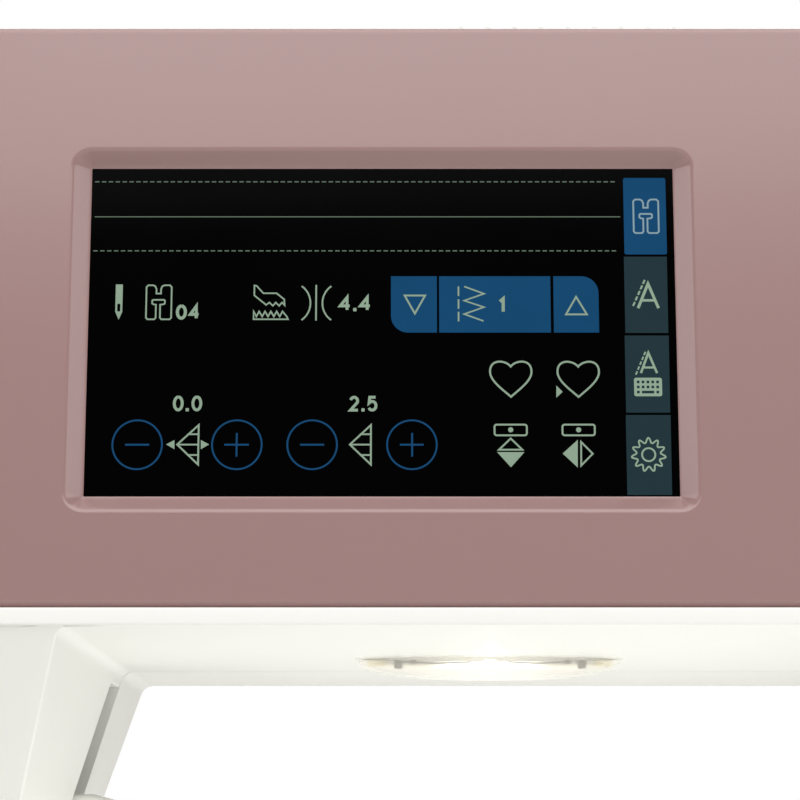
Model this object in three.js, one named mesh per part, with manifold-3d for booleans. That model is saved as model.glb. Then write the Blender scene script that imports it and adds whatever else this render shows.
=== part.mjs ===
// A computerised sewing and embroidery machine with its embroidery unit and hoop in place.
// Millimetres, +X to the right, +Y to the back, +Z up. The origin is on the table, under the middle of the whole.
import * as THREE from "three";
import { mergeVertices } from "three/addons/utils/BufferGeometryUtils.js";
import { ConvexGeometry } from "three/addons/geometries/ConvexGeometry.js";
import Module from "manifold-3d";

const wasm = await Module();
wasm.setup();

// ---------- driving dimensions ----------
const GAP = 0.3; // between pieces that touch
const WALL = 2.5; // casing thickness
const FRONT_Y = -62; // plane of the fascia
const BACK_Y = 62.5;
const SEAM_Y = 26.5; // where the front and rear casings meet
const HEAD_LEFT = -102;
const HEAD_RIGHT = 10; // the head's inner wall, at the arm's underside
const COLUMN_LEFT = 165;
const COLUMN_RIGHT = 285;
const BED_Z = 72; // top of bed, free arm and embroidery unit
const ARM_Z = 180; // underside of the arm
const SHELL_TOP = 277;
const FASCIA_BOTTOM = 182.8;
const FASCIA_TOP = 279.3;
const FASCIA_THICK = 2.2;
const FASCIA_LEFT = -58;
const HEAD_BOTTOM = 128;
const WALL_SLOPE = 0.31; // how far the head's inner wall leans in per millimetre down
const FACE_SLOPE = 0.75; // the same for the head's lower front face

const NEEDLE_X = -40; // the needle stands at y = 0
const PRESSER_Y = 11;
const NEEDLE_STROKE = 30;
const SHAFT_Z = 240; // upper shaft, at y = 0
const LOWER_SHAFT = { y: 8, z: 42 };
const HOOK_Y = -19;
const LEVER_PIVOT = { x: -26, z: 152 };
const LEVER_Y = { front: 15.5, back: 24 };
const TAKE_UP = { x: -74.25, y: 10, z: 222 };

const SCREEN = { x: 60.8, z: 228.2, width: 95.5, height: 54.6 };
const RECESS = { width: 102.3, height: 60.6, corner: 3.6 };
const LIGHT = { x: 80, y: -2, halfLength: 24.1, halfDepth: 8.2, drop: 3.6, fullness: 0.7 };

const UNIT = { left: -310, inner: -102, right: 98, halfDepth: 155, frontLeg: -78, rearLeg: 100, gapHalf: 44.5 };
const CARRIAGE = { left: -200, right: -145, halfLength: 142, bottom: 73, top: 112 };
const GUIDE = { y: 80, z: 50, r: 4 };
const HOOP_BOTTOM = 73.5;

// ---------- materials ----------
const finish = (color, roughness, metalness = 0) =>
  new THREE.MeshStandardMaterial({ color, roughness, metalness });
const WHITE = finish(0xf4f3ec, 0.45);
const ROSE = finish(0xb89694, 0.4);
const BLACK = finish(0x0a0a0c, 0.12);
const CLEAR = finish(0xf2f0e4, 0.1);
const GREY = finish(0x8f9092, 0.5);
const CAST = finish(0xb4b6b8, 0.55, 0.9);
const STEEL = finish(0xc9cbcd, 0.25, 1);
const RUBBER = finish(0x2b2b2c, 0.9);
const BOARD = finish(0x1f5a3c, 0.6);

const group = new THREE.Group();

// ---------- solids ----------
function solid(geometry) {
  const flat = geometry.index ? geometry.toNonIndexed() : geometry;
  const bare = new THREE.BufferGeometry().setAttribute("position", flat.getAttribute("position"));
  const merged = mergeVertices(bare, 1e-4);
  return new wasm.Manifold(
    new wasm.Mesh({
      numProp: 3,
      vertProperties: new Float32Array(merged.attributes.position.array),
      triVerts: new Uint32Array(merged.index.array),
    }),
  );
}

const join = (...solids) => solids.reduce((a, b) => a.add(b));
const cut = (first, ...others) => others.reduce((a, b) => a.subtract(b), first);

function add(name, made, material) {
  const mesh = made.getMesh();
  const geometry = new THREE.BufferGeometry();
  geometry.setAttribute("position", new THREE.BufferAttribute(new Float32Array(mesh.vertProperties), 3));
  geometry.setIndex(new THREE.BufferAttribute(new Uint32Array(mesh.triVerts), 1));
  const piece = new THREE.Mesh(geometry, material);
  piece.name = name;
  group.add(piece);
}

function box(x0, x1, y0, y1, z0, z1) {
  const geometry = new THREE.BoxGeometry(x1 - x0, y1 - y0, z1 - z0);
  geometry.translate((x0 + x1) / 2, (y0 + y1) / 2, (z0 + z1) / 2);
  return solid(geometry);
}

// A cylinder along an axis. a and b are its centre on the other two axes, in x, y, z order.
function rod(axis, r, from, to, a, b, sides = 24, rTo = r) {
  const geometry = new THREE.CylinderGeometry(rTo, r, to - from, sides);
  geometry.translate(0, (from + to) / 2, 0);
  if (axis === "z") geometry.rotateX(Math.PI / 2).translate(a, b, 0);
  if (axis === "x") geometry.rotateZ(-Math.PI / 2).translate(0, a, b);
  if (axis === "y") geometry.translate(a, 0, b);
  return solid(geometry);
}

const extrude = (shape, depth, curveSegments) =>
  new THREE.ExtrudeGeometry(shape, { depth, bevelEnabled: false, curveSegments });

// An outline in X and Y, raised from z0 to z1.
const slab = (shape, z0, z1, segments = 5) => solid(extrude(shape, z1 - z0, segments).translate(0, 0, z0));

// An outline in X and Z, from y0 back to y1.
const plate = (shape, y0, y1, segments = 5) =>
  solid(extrude(shape, y1 - y0, segments).rotateX(Math.PI / 2).translate(0, y1, 0));

// An outline in Y and Z, from x0 to x1.
function rib(shape, x0, x1, segments = 5) {
  const turn = new THREE.Matrix4().makeBasis(
    new THREE.Vector3(0, 1, 0),
    new THREE.Vector3(0, 0, 1),
    new THREE.Vector3(1, 0, 0),
  );
  return solid(extrude(shape, x1 - x0, segments).applyMatrix4(turn).translate(x0, 0, 0));
}

// A rectangle with round corners, from corner to corner of its two axes.
function rounded(a0, a1, b0, b1, r) {
  const shape = new THREE.Shape();
  shape.moveTo(a0 + r, b0);
  shape.lineTo(a1 - r, b0);
  shape.absarc(a1 - r, b0 + r, r, -Math.PI / 2, 0);
  shape.lineTo(a1, b1 - r);
  shape.absarc(a1 - r, b1 - r, r, 0, Math.PI / 2);
  shape.lineTo(a0 + r, b1);
  shape.absarc(a0 + r, b1 - r, r, Math.PI / 2, Math.PI);
  shape.lineTo(a0, b0 + r);
  shape.absarc(a0 + r, b0 + r, r, Math.PI, 1.5 * Math.PI);
  return shape;
}

function polygon(points) {
  const shape = new THREE.Shape();
  points.forEach(([a, b], i) => (i ? shape.lineTo(a, b) : shape.moveTo(a, b)));
  return shape;
}

// ---------- casing of head, arm and column ----------
const CORNER = 10;
const COLUMN_FILLET = 14;
const HEAD_FILLET = 2;
const LAP = 6; // how far the lower head reaches up into the arm
const LEDGE = 1.2; // how far the lip under the fascia stands out

// The arm and column seen from the front, drawn in by t all round.
function armOutline(t, foot) {
  const shape = new THREE.Shape();
  const fillet = COLUMN_FILLET;
  shape.moveTo(HEAD_LEFT + t, ARM_Z + t);
  shape.lineTo(COLUMN_LEFT - fillet, ARM_Z + t);
  shape.absarc(COLUMN_LEFT - fillet, ARM_Z - fillet, fillet + t, Math.PI / 2, 0, true);
  shape.lineTo(COLUMN_LEFT + t, foot);
  shape.lineTo(COLUMN_RIGHT - t, foot);
  shape.lineTo(COLUMN_RIGHT - t, SHELL_TOP - CORNER);
  shape.absarc(COLUMN_RIGHT - CORNER, SHELL_TOP - CORNER, CORNER - t, 0, Math.PI / 2);
  shape.lineTo(HEAD_LEFT + CORNER, SHELL_TOP - t);
  shape.absarc(HEAD_LEFT + CORNER, SHELL_TOP - CORNER, CORNER - t, Math.PI / 2, Math.PI);
  return shape;
}

// The lower head narrows downwards: two outlines meet at right angles.
function lowerHead(t) {
  const deep = ARM_Z - HEAD_BOTTOM;
  const front = new THREE.Shape();
  front.moveTo(HEAD_LEFT + t, ARM_Z + LAP);
  front.lineTo(HEAD_LEFT + t, ARM_Z);
  front.lineTo(HEAD_LEFT + 8 + t, HEAD_BOTTOM + t);
  front.lineTo(HEAD_RIGHT - WALL_SLOPE * deep - t, HEAD_BOTTOM + t);
  if (t === 0) {
    front.lineTo(HEAD_RIGHT - WALL_SLOPE * HEAD_FILLET, ARM_Z - HEAD_FILLET);
    front.quadraticCurveTo(HEAD_RIGHT, ARM_Z, HEAD_RIGHT + HEAD_FILLET, ARM_Z);
    front.lineTo(HEAD_RIGHT + HEAD_FILLET, ARM_Z + LAP);
  } else {
    front.lineTo(HEAD_RIGHT - t, ARM_Z);
    front.lineTo(HEAD_RIGHT - t, ARM_Z + LAP);
  }
  const side = polygon([
    [FRONT_Y + t, ARM_Z + LAP],
    [FRONT_Y + t, ARM_Z],
    [FRONT_Y + FACE_SLOPE * deep + t, HEAD_BOTTOM],
    [BACK_Y - 14 - t, HEAD_BOTTOM],
    [BACK_Y - t, ARM_Z],
    [BACK_Y - t, ARM_Z + LAP],
  ]);
  return plate(front, FRONT_Y - 1, BACK_Y + 1, 8).intersect(rib(side, HEAD_LEFT - 1, HEAD_RIGHT + 20));
}

const COLUMN_FOOT = BED_Z + GAP;
const FASCIA_BACK = FRONT_Y + FASCIA_THICK; // rear of the fascia plate
const BACKING_Y = FASCIA_BACK + GAP; // front of the casing behind the fascia
const outer = join(
  plate(armOutline(0, COLUMN_FOOT), FRONT_Y, BACK_Y, 12),
  box(HEAD_LEFT, COLUMN_RIGHT, FRONT_Y - LEDGE, FRONT_Y + 1, ARM_Z, FASCIA_BOTTOM),
  lowerHead(0),
);
const hollow = cut(
  join(plate(armOutline(WALL, COLUMN_FOOT - 1), FRONT_Y + WALL, BACK_Y - WALL), lowerHead(WALL)),
  box(FASCIA_LEFT - 3, COLUMN_RIGHT, FRONT_Y, BACKING_Y + WALL, ARM_Z - 1, SHELL_TOP),
);

const SLOTS_X = [TAKE_UP.x - 16, TAKE_UP.x];
const SLOT_HALF = 2;
const threadSlots = SLOTS_X.map((x) =>
  box(x - SLOT_HALF, x + SLOT_HALF, FRONT_Y - LEDGE - 1, -22, HEAD_BOTTOM - 1, 262),
);
const headOpening = box(-72, -10, -13, 22, HEAD_BOTTOM - 1, HEAD_BOTTOM + WALL + 1);
// The lever leaves through a notch in the front casing's rear edge.
const leverSlot = box(-12, 16, LEVER_Y.front - 1.5, SEAM_Y + 1, 149.5, 177);
const screenWindow = box(5, 117, FRONT_Y - 1, BACKING_Y + WALL + 1, 192, 264);
const shaftHole = rod("x", 9, COLUMN_RIGHT - 5, COLUMN_RIGHT + 5, 0, SHAFT_Z);

// A memory stick's port in the column's right wall, and screw wells and air slots in the back.
const PORT = { y: -24, z: 168, halfWidth: 6.8, halfHeight: 3.2 };
const portHole = box(
  COLUMN_RIGHT - 5,
  COLUMN_RIGHT + 1,
  PORT.y - PORT.halfWidth,
  PORT.y + PORT.halfWidth,
  PORT.z - PORT.halfHeight,
  PORT.z + PORT.halfHeight,
);
const WELLS = [
  [-84, 262],
  [-80, 156],
  [70, 262],
  [268, 262],
  [182, 86],
  [268, 86],
];
const screwWells = WELLS.map(([x, z]) => rod("y", 4, BACK_Y - 6, BACK_Y + 1, x, z, 16));
const AIR_SLOTS = 9;
const airSlots = Array.from({ length: AIR_SLOTS }, (_, i) =>
  plate(rounded(196 + 7 * i, 199.4 + 7 * i, 112, 150, 1.6), BACK_Y - 6, BACK_Y + 1, 3),
);
const DECK = { x0: -88, x1: 212, y0: -44, y1: 48, floor: 262 };
const deckOpening = box(DECK.x0 - GAP, DECK.x1 + GAP, DECK.y0 - GAP, DECK.y1 + GAP, SHELL_TOP - 5, SHELL_TOP + 1);

// An oval in X and Y for the arm's light, grown by t.
function lightOval(t) {
  const shape = new THREE.Shape();
  shape.absellipse(LIGHT.x, LIGHT.y, LIGHT.halfLength + t, LIGHT.halfDepth + t, 0, 2 * Math.PI);
  return shape;
}
const lightHole = slab(lightOval(0), ARM_Z - 1, ARM_Z + WALL + 1, 10);

// Buttons on the fascia, beside the head's thread slots: name, centre, half width and half height.
const BUTTONS = [
  ["reverse_button", -41, 263, 8.5, 5.5],
  ["needle_position_button", -18, 263, 8.5, 5.5],
  ["thread_cutter_button", -41, 247, 8.5, 5.5],
  ["foot_lift_button", -18, 247, 8.5, 5.5],
  ["start_stop_button", -29.5, 226, 9.5, 9.5],
];
const BUTTON_CORNER = 3;
const buttonOutline = ([name, x, z, halfWidth, halfHeight], t) =>
  rounded(
    x - halfWidth - t,
    x + halfWidth + t,
    z - halfHeight - t,
    z + halfHeight + t,
    (name === "start_stop_button" ? halfWidth - 0.1 : BUTTON_CORNER) + t,
  );
const buttonHoles = BUTTONS.map((b) => plate(buttonOutline(b, GAP + 0.1), FRONT_Y - 1, BACKING_Y + WALL + 1, 4));
const SLIDER = { x: -29.5, z: 202, travel: 13, halfWidth: 5 };
const sliderSlot = box(
  SLIDER.x - SLIDER.travel - 3,
  SLIDER.x + SLIDER.travel + 3,
  FRONT_Y - 1,
  BACKING_Y + WALL + 1,
  SLIDER.z - 2,
  SLIDER.z + 2,
);

const casing = cut(outer, hollow);
const fasciaSeat = box(FASCIA_LEFT - GAP, COLUMN_RIGHT + 1, FRONT_Y - 1, BACKING_Y, FASCIA_BOTTOM, FASCIA_TOP);
const front = casing.intersect(box(-400, 400, -200, SEAM_Y, 0, 400));
const rear = casing.intersect(box(-400, 400, SEAM_Y + GAP, 200, 0, 400));
const openings = [headOpening, deckOpening];
add(
  "front_shell",
  cut(
    front,
    ...openings,
    ...threadSlots,
    ...buttonHoles,
    leverSlot,
    screenWindow,
    sliderSlot,
    shaftHole,
    portHole,
    lightHole,
    fasciaSeat,
  ),
  WHITE,
);
add("rear_shell", cut(rear, ...openings, ...screwWells, ...airSlots), WHITE);

// ---------- fascia and screen ----------
// The opening slopes in from the round-cornered recess to the square screen.
function screenOpening() {
  const points = [];
  const edge = rounded(
    SCREEN.x - RECESS.width / 2,
    SCREEN.x + RECESS.width / 2,
    SCREEN.z - RECESS.height / 2,
    SCREEN.z + RECESS.height / 2,
    RECESS.corner,
  );
  for (const p of edge.getPoints(4)) points.push(new THREE.Vector3(p.x, FRONT_Y - 0.01, p.y));
  for (const sx of [-1, 1])
    for (const sz of [-1, 1])
      points.push(
        new THREE.Vector3(SCREEN.x + (sx * SCREEN.width) / 2, FASCIA_BACK + 0.1, SCREEN.z + (sz * SCREEN.height) / 2),
      );
  return solid(new ConvexGeometry(points));
}

function fasciaOutline() {
  const shape = new THREE.Shape();
  const bottom = FASCIA_BOTTOM + GAP / 2;
  shape.moveTo(FASCIA_LEFT, bottom);
  shape.lineTo(COLUMN_RIGHT, bottom);
  shape.lineTo(COLUMN_RIGHT, FASCIA_TOP - CORNER);
  shape.absarc(COLUMN_RIGHT - CORNER, FASCIA_TOP - CORNER, CORNER, 0, Math.PI / 2);
  shape.lineTo(FASCIA_LEFT, FASCIA_TOP);
  return shape;
}
add(
  "front_panel",
  cut(plate(fasciaOutline(), FRONT_Y, FASCIA_BACK), screenOpening(), ...buttonHoles, sliderSlot),
  ROSE,
);
add("screen_glass", box(8.5, 113, BACKING_Y, BACKING_Y + 1.2, 196.5, 260), BLACK);
add("display_module", box(9, 112.5, BACKING_Y + 1.5, -53.5, 197, 259.5), GREY);

function controlBoard() {
  const board = box(-4, 130, -50, -48.4, 190, 262);
  const chips = [
    box(20, 38, -48.5, -46, 215, 233),
    box(50, 62, -48.5, -46.5, 240, 252),
    box(70, 100, -48.5, -40, 194, 201),
    box(104, 124, -48.5, -44, 225, 245),
    box(2, 12, -48.5, -38, 196, 250),
  ];
  return join(board, ...chips);
}
add("control_board", controlBoard(), BOARD);

// ---------- light under the arm ----------
// A boat-shaped bowl: half an ellipsoid whose ends are drawn full, under a plug that fills the hole.
function lens() {
  const bowl = new THREE.SphereGeometry(1, 24, 12);
  const points = bowl.attributes.position;
  for (let i = 0; i < points.count; i++) {
    const x = points.getX(i);
    points.setX(i, Math.sign(x) * Math.abs(x) ** LIGHT.fullness);
  }
  bowl.scale(LIGHT.halfLength, LIGHT.halfDepth, LIGHT.drop).translate(LIGHT.x, LIGHT.y, ARM_Z - GAP);
  const lower = solid(bowl).intersect(box(0, 200, -60, 60, 100, ARM_Z - GAP));
  return join(lower, slab(lightOval(-GAP), ARM_Z - GAP - 0.01, ARM_Z + 2, 6));
}
add("arm_light_lens", lens(), CLEAR);
add("arm_light_board", box(58, 101.6, -7, 3, ARM_Z + 4, ARM_Z + 5.6), WHITE);

// ---------- buttons ----------
const BUTTON_PROUD = 1.2;
for (const b of BUTTONS) add(b[0], plate(buttonOutline(b, 0), FRONT_Y - BUTTON_PROUD, -56.5, 4), WHITE);
add(
  "speed_slider",
  join(
    box(SLIDER.x - SLIDER.halfWidth, SLIDER.x + SLIDER.halfWidth, FRONT_Y - 4, FRONT_Y - GAP, 196, 208),
    box(SLIDER.x - 2.5, SLIDER.x + 2.5, FRONT_Y - 1, -56.5, SLIDER.z - 1.5, SLIDER.z + 1.5),
  ),
  WHITE,
);

// ---------- lid, deck and thread stand ----------
function lidProfile(t) {
  const shape = new THREE.Shape();
  const frontY = FASCIA_BACK + 0.5 + t;
  const rearY = 60 - t;
  shape.moveTo(frontY, 277.4 - (t ? 1 : 0));
  shape.lineTo(frontY, 279.6 - t / 3);
  shape.quadraticCurveTo(-22, 292.5 - t, 12, 295.5 - t);
  shape.quadraticCurveTo(48, 298.5 - t, 58 - t, 291 - t);
  shape.lineTo(rearY, 287 - t);
  shape.lineTo(rearY, 277.4 - (t ? 1 : 0));
  return shape;
}
add(
  "top_lid",
  cut(
    rib(lidProfile(0), HEAD_LEFT + 2, COLUMN_RIGHT - 2, 10),
    rib(lidProfile(WALL), HEAD_LEFT + 2 + WALL, COLUMN_RIGHT - 2 - WALL, 6),
  ),
  WHITE,
);

const deckTray = cut(
  box(DECK.x0, DECK.x1, DECK.y0, DECK.y1, DECK.floor, SHELL_TOP),
  box(DECK.x0 + 2, DECK.x1 - 2, DECK.y0 + 2, DECK.y1 - 2, DECK.floor + 2, SHELL_TOP + 1),
);
const threadGuides = [-60, 20].map((x) =>
  join(box(x, x + 3, -30, -22, DECK.floor + 1, 281), box(x, x + 14, -27, -25, 278, 281)),
);
add("top_deck", join(deckTray, ...threadGuides), WHITE);

const SPOOL = { y: 14, z: 277.5 };
add(
  "spool_pin",
  join(rod("x", 3, 50, 150, SPOOL.y, SPOOL.z, 16), box(148, 156, SPOOL.y - 9, SPOOL.y + 9, DECK.floor + 2.3, 284)),
  GREY,
);
add("spool_cap", cut(rod("x", 11.5, 56, 61, SPOOL.y, SPOOL.z), rod("x", 3.3, 55, 62, SPOOL.y, SPOOL.z, 16)), GREY);
add(
  "winder_spindle",
  join(rod("z", 3, 265, 288, 190, 12, 16), rod("z", 9, 268, 270.5, 190, 12, 24)),
  STEEL,
);

// ---------- cast frame ----------
const FRAME_Y0 = 29;
const FRAME_Y1 = 36;
function frameBracket(x0, x1, y0, z0, z1) {
  return box(x0, x1, y0, FRAME_Y0 + 1, z0, z1);
}
function castFrame() {
  const back = join(
    box(-92, 275, FRAME_Y0, FRAME_Y1, 196, 258),
    box(-92, -14, FRAME_Y0, FRAME_Y1, 138, 200),
    box(172, 275, FRAME_Y0, FRAME_Y1, 32, 200),
    box(-88, 180, FRAME_Y0, FRAME_Y1, 32, 62),
  );
  const supports = [
    frameBracket(-8, 4, -12, 226, 254), // upper shaft, left
    frameBracket(256, 266, -12, 226, 254), // upper shaft, right
    frameBracket(NEEDLE_X - 9, NEEDLE_X + 9, -8, 196, 204), // needle and presser bars, upper
    frameBracket(NEEDLE_X - 7.5, NEEDLE_X + 7.5, -8, 140, 147), // and lower
    frameBracket(-72, -60, 3, TAKE_UP.z - 7, TAKE_UP.z + 7), // take-up lever
    frameBracket(-68, -60, 0, 33, 51), // lower shaft, left
    frameBracket(200, 208, 0, 33, 51), // lower shaft, right
    frameBracket(212.3, 215, -50, 92, 148), // motor plate
    box(NEEDLE_X - 16, NEEDLE_X + 16, -30, FRAME_Y1, 27, 29), // hook floor
    box(NEEDLE_X - 16, NEEDLE_X + 16, FRAME_Y0, FRAME_Y1, 27, 33),
    rod("z", 8, 27, 35, NEEDLE_X, HOOK_Y), // hook bearing
    rod("x", 2.6, -77, -71, TAKE_UP.y, TAKE_UP.z, 16), // take-up pin
    rod("y", 3, LEVER_Y.front - 0.5, FRAME_Y0 + 1, LEVER_PIVOT.x, LEVER_PIVOT.z, 16), // lifter pin
  ];
  const bores = [
    rod("x", 6.3, -20, 280, 0, SHAFT_Z),
    rod("x", 5.3, -75, 215, LOWER_SHAFT.y, LOWER_SHAFT.z),
    rod("z", 3.6, 130, 210, NEEDLE_X, 0, 20),
    rod("z", 3.3, 130, 210, NEEDLE_X, PRESSER_Y, 20),
    rod("z", 4.3, 20, 40, NEEDLE_X, HOOK_Y, 20),
    rod("x", 6, 205, 220, -22, 120),
  ];
  return cut(join(back, ...supports), ...bores);
}
add("main_frame", castFrame(), CAST);

// ---------- upper shaft and handwheel ----------
function upperShaft() {
  const crank = join(
    rod("x", 17, -24, -18, 0, SHAFT_Z, 28),
    rod("x", 3, -33.5, -23, 0, SHAFT_Z + NEEDLE_STROKE / 2 - 2, 16),
  );
  return join(rod("x", 6, -20, 297, 0, SHAFT_Z), crank);
}
add("upper_shaft", upperShaft(), STEEL);

// A wheel on a shaft of radius r, with a flange at each side.
function pulley(x0, x1, radius, shaft, y, z, flange = 1.5) {
  const rim = join(
    rod("x", radius, x0, x1, y, z, 28),
    rod("x", radius + 2.5, x0 - flange, x0, y, z, 28),
    rod("x", radius + 2.5, x1, x1 + flange, y, z, 28),
  );
  return cut(rim, rod("x", shaft + GAP, x0 - 5, x1 + 5, y, z));
}
const TIMING = { x0: 217, x1: 226, r: 15 };
const DRIVE = { x0: 236, x1: 243, r: 20, small: 6.5, y: -22, z: 120 };
add("timing_pulley", pulley(TIMING.x0, TIMING.x1, TIMING.r, 6, 0, SHAFT_Z), GREY);
add("drive_pulley", pulley(DRIVE.x0, DRIVE.x1, DRIVE.r, 6, 0, SHAFT_Z), GREY);

function handwheelShape() {
  const r = 30;
  const profile = [
    [6.3, 0],
    [r - 3, 0],
    [r, 4],
    [r, 15],
    [r - 3, 20],
    [r - 10, 22],
    [r - 14, 17],
    [11, 17],
    [9, 22],
    [6.3, 22],
    [6.3, 0],
  ].map(([a, b]) => new THREE.Vector2(a, b));
  const lathe = new THREE.LatheGeometry(profile, 32);
  lathe.rotateZ(-Math.PI / 2).translate(288, 0, SHAFT_Z);
  return solid(lathe);
}
add("handwheel", handwheelShape(), WHITE);

// ---------- lower shaft, hook and bobbin ----------
// A gear's outline has straight-sided teeth round a centre at 0, 0.
function gearOutline(teeth, root, tip) {
  const points = [];
  for (let i = 0; i < teeth; i++)
    for (const [share, r] of [
      [0, root],
      [0.25, tip],
      [0.5, tip],
      [0.75, root],
    ]) {
      const a = ((i + share) / teeth) * 2 * Math.PI;
      points.push([r * Math.cos(a), r * Math.sin(a)]);
    }
  return polygon(points);
}
const HOOK_TEETH = 14;
const SHAFT_TEETH = 28;
const shaftGear = rib(gearOutline(SHAFT_TEETH, 11.2, 12.6), NEEDLE_X - 5, NEEDLE_X + 5).translate(
  0,
  LOWER_SHAFT.y,
  LOWER_SHAFT.z,
);
add(
  "lower_shaft",
  join(rod("x", 5, -70, 232, LOWER_SHAFT.y, LOWER_SHAFT.z), shaftGear),
  STEEL,
);
add("lower_pulley", pulley(TIMING.x0, TIMING.x1, TIMING.r, 5, LOWER_SHAFT.y, LOWER_SHAFT.z), GREY);

function rotaryHook() {
  const cup = cut(rod("z", 16.5, 50, 65, NEEDLE_X, HOOK_Y, 32), rod("z", 14.9, 52, 66, NEEDLE_X, HOOK_Y, 32));
  const gear = slab(gearOutline(HOOK_TEETH, 12.4, 14), 37, 47).translate(NEEDLE_X, HOOK_Y, 0);
  return join(cup, gear, rod("z", 4, 27.5, 51, NEEDLE_X, HOOK_Y, 20));
}
add("rotary_hook", rotaryHook(), STEEL);
add(
  "bobbin_case",
  cut(rod("z", 14.5, 52.4, 66, NEEDLE_X, HOOK_Y, 32), rod("z", 12.4, 53.6, 67, NEEDLE_X, HOOK_Y, 32)),
  BLACK,
);
function bobbinShape() {
  const spool = join(
    rod("z", 3.6, 54, 65, NEEDLE_X, HOOK_Y, 20),
    rod("z", 10.5, 54, 55, NEEDLE_X, HOOK_Y, 28),
    rod("z", 10.5, 64, 65, NEEDLE_X, HOOK_Y, 28),
  );
  return cut(spool, rod("z", 2.8, 53, 66, NEEDLE_X, HOOK_Y, 20));
}
add("bobbin", bobbinShape(), CLEAR);

// ---------- motor and belts ----------
add(
  "motor",
  cut(rod("x", 25, 170, 212, DRIVE.y, DRIVE.z, 28), rod("x", 3.4, 195, 213, DRIVE.y, DRIVE.z, 20)),
  GREY,
);
add(
  "motor_pulley",
  join(rod("x", 3, 196, 246, DRIVE.y, DRIVE.z, 16), pulley(DRIVE.x0, DRIVE.x1, DRIVE.small, 0, DRIVE.y, DRIVE.z)),
  STEEL,
);

// A belt round two wheels in a plane across X.
function beltOutline(a, ra, b, rb) {
  const dy = b.y - a.y;
  const dz = b.z - a.z;
  const along = Math.atan2(dz, dy);
  const lean = Math.acos((ra - rb) / Math.hypot(dy, dz));
  const shape = new THREE.Shape();
  shape.absarc(a.y, a.z, ra, along + lean, along - lean + 2 * Math.PI, false);
  shape.absarc(b.y, b.z, rb, along - lean, along + lean, false);
  return shape;
}
function belt(a, ra, b, rb, x0, x1, thick) {
  return cut(
    rib(beltOutline(a, ra + thick, b, rb + thick), x0, x1, 14),
    rib(beltOutline(a, ra, b, rb), x0 - 1, x1 + 1, 14),
  );
}
const SHAFT_POINT = { y: 0, z: SHAFT_Z };
const BELT_CLEAR = 0.5;
add(
  "timing_belt",
  belt(
    SHAFT_POINT,
    TIMING.r + BELT_CLEAR,
    LOWER_SHAFT,
    TIMING.r + BELT_CLEAR,
    TIMING.x0 + GAP,
    TIMING.x1 - GAP,
    1.6,
  ),
  RUBBER,
);
add(
  "motor_belt",
  belt(
    SHAFT_POINT,
    DRIVE.r + BELT_CLEAR,
    DRIVE,
    DRIVE.small + BELT_CLEAR,
    DRIVE.x0 + GAP,
    DRIVE.x1 - GAP,
    1.6,
  ),
  RUBBER,
);

// ---------- needle bar, presser bar and take-up ----------
add("needle_bar", rod("z", 3.3, 121.7, 252, NEEDLE_X, 0, 20), STEEL);
add(
  "needle_clamp",
  cut(
    join(rod("z", 5.5, 116, 126, NEEDLE_X, 0, 20), rod("x", 3.2, NEEDLE_X + 4, NEEDLE_X + 13, 0, 120.5, 16)),
    rod("z", 3.6, 121, 127, NEEDLE_X, 0, 20),
    rod("z", 1.4, 115, 127, NEEDLE_X, 0, 16),
  ),
  STEEL,
);
function needleShape() {
  const profile = [
    [0, 90],
    [0.45, 93],
    [0.5, 108],
    [1.05, 111],
    [1.05, 121.3],
    [0, 121.3],
  ].map(([a, b]) => new THREE.Vector2(a, b));
  return solid(new THREE.LatheGeometry(profile, 12).rotateX(Math.PI / 2).translate(NEEDLE_X, 0, 0));
}
add("needle", needleShape(), STEEL);

// The lifter raises the presser bar by the arm clamped to it.
add(
  "presser_bar",
  join(
    rod("z", 3, 90, 212, NEEDLE_X, PRESSER_Y, 20),
    box(NEEDLE_X - 5, NEEDLE_X + 5, PRESSER_Y - 5, PRESSER_Y + 6, 158.5, 166),
    box(NEEDLE_X - 5, LEVER_PIVOT.x + 4, PRESSER_Y + 5, LEVER_Y.back, 160, 165),
  ),
  STEEL,
);
function embroideryFoot() {
  const ring = cut(rod("z", 7, 73.6, 75.8, NEEDLE_X, 0, 28), rod("z", 3, 73, 77, NEEDLE_X, 0, 20));
  const neck = box(NEEDLE_X - 2.2, NEEDLE_X + 2.2, 6.5, 9.5, 74, 88);
  const heel = box(NEEDLE_X - 2.2, NEEDLE_X + 2.2, 5.5, 9.5, 73.6, 75.8);
  const holder = box(NEEDLE_X - 5.5, NEEDLE_X + 5.5, 6.8, 15.5, 85, 99);
  const screw = rod("x", 3.2, NEEDLE_X - 13, NEEDLE_X - 5, PRESSER_Y, 92, 16);
  return cut(join(ring, neck, heel, holder, screw), rod("z", 3.3, 89.7, 100, NEEDLE_X, PRESSER_Y, 20));
}
add("embroidery_foot", embroideryFoot(), STEEL);

function takeUpLever() {
  const tip = [FRONT_Y - 7, 247];
  const shape = polygon([
    [TAKE_UP.y + 5, TAKE_UP.z - 4],
    [TAKE_UP.y + 5, TAKE_UP.z + 5],
    [TAKE_UP.y - 4, TAKE_UP.z + 6],
    [tip[0], tip[1] + 3],
    [tip[0] - 2, tip[1]],
    [tip[0] + 1, tip[1] - 4],
    [tip[0] + 6, tip[1] - 3.5],
    [TAKE_UP.y - 4, TAKE_UP.z - 5],
  ]);
  return cut(
    rib(shape, TAKE_UP.x - 0.9, TAKE_UP.x + 0.9),
    rod("x", 2.9, -80, -70, TAKE_UP.y, TAKE_UP.z, 16),
    rod("x", 1, -80, -70, tip[0] + 2.5, tip[1] - 0.5, 10),
  );
}
add("take_up_lever", takeUpLever(), STEEL);

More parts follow.
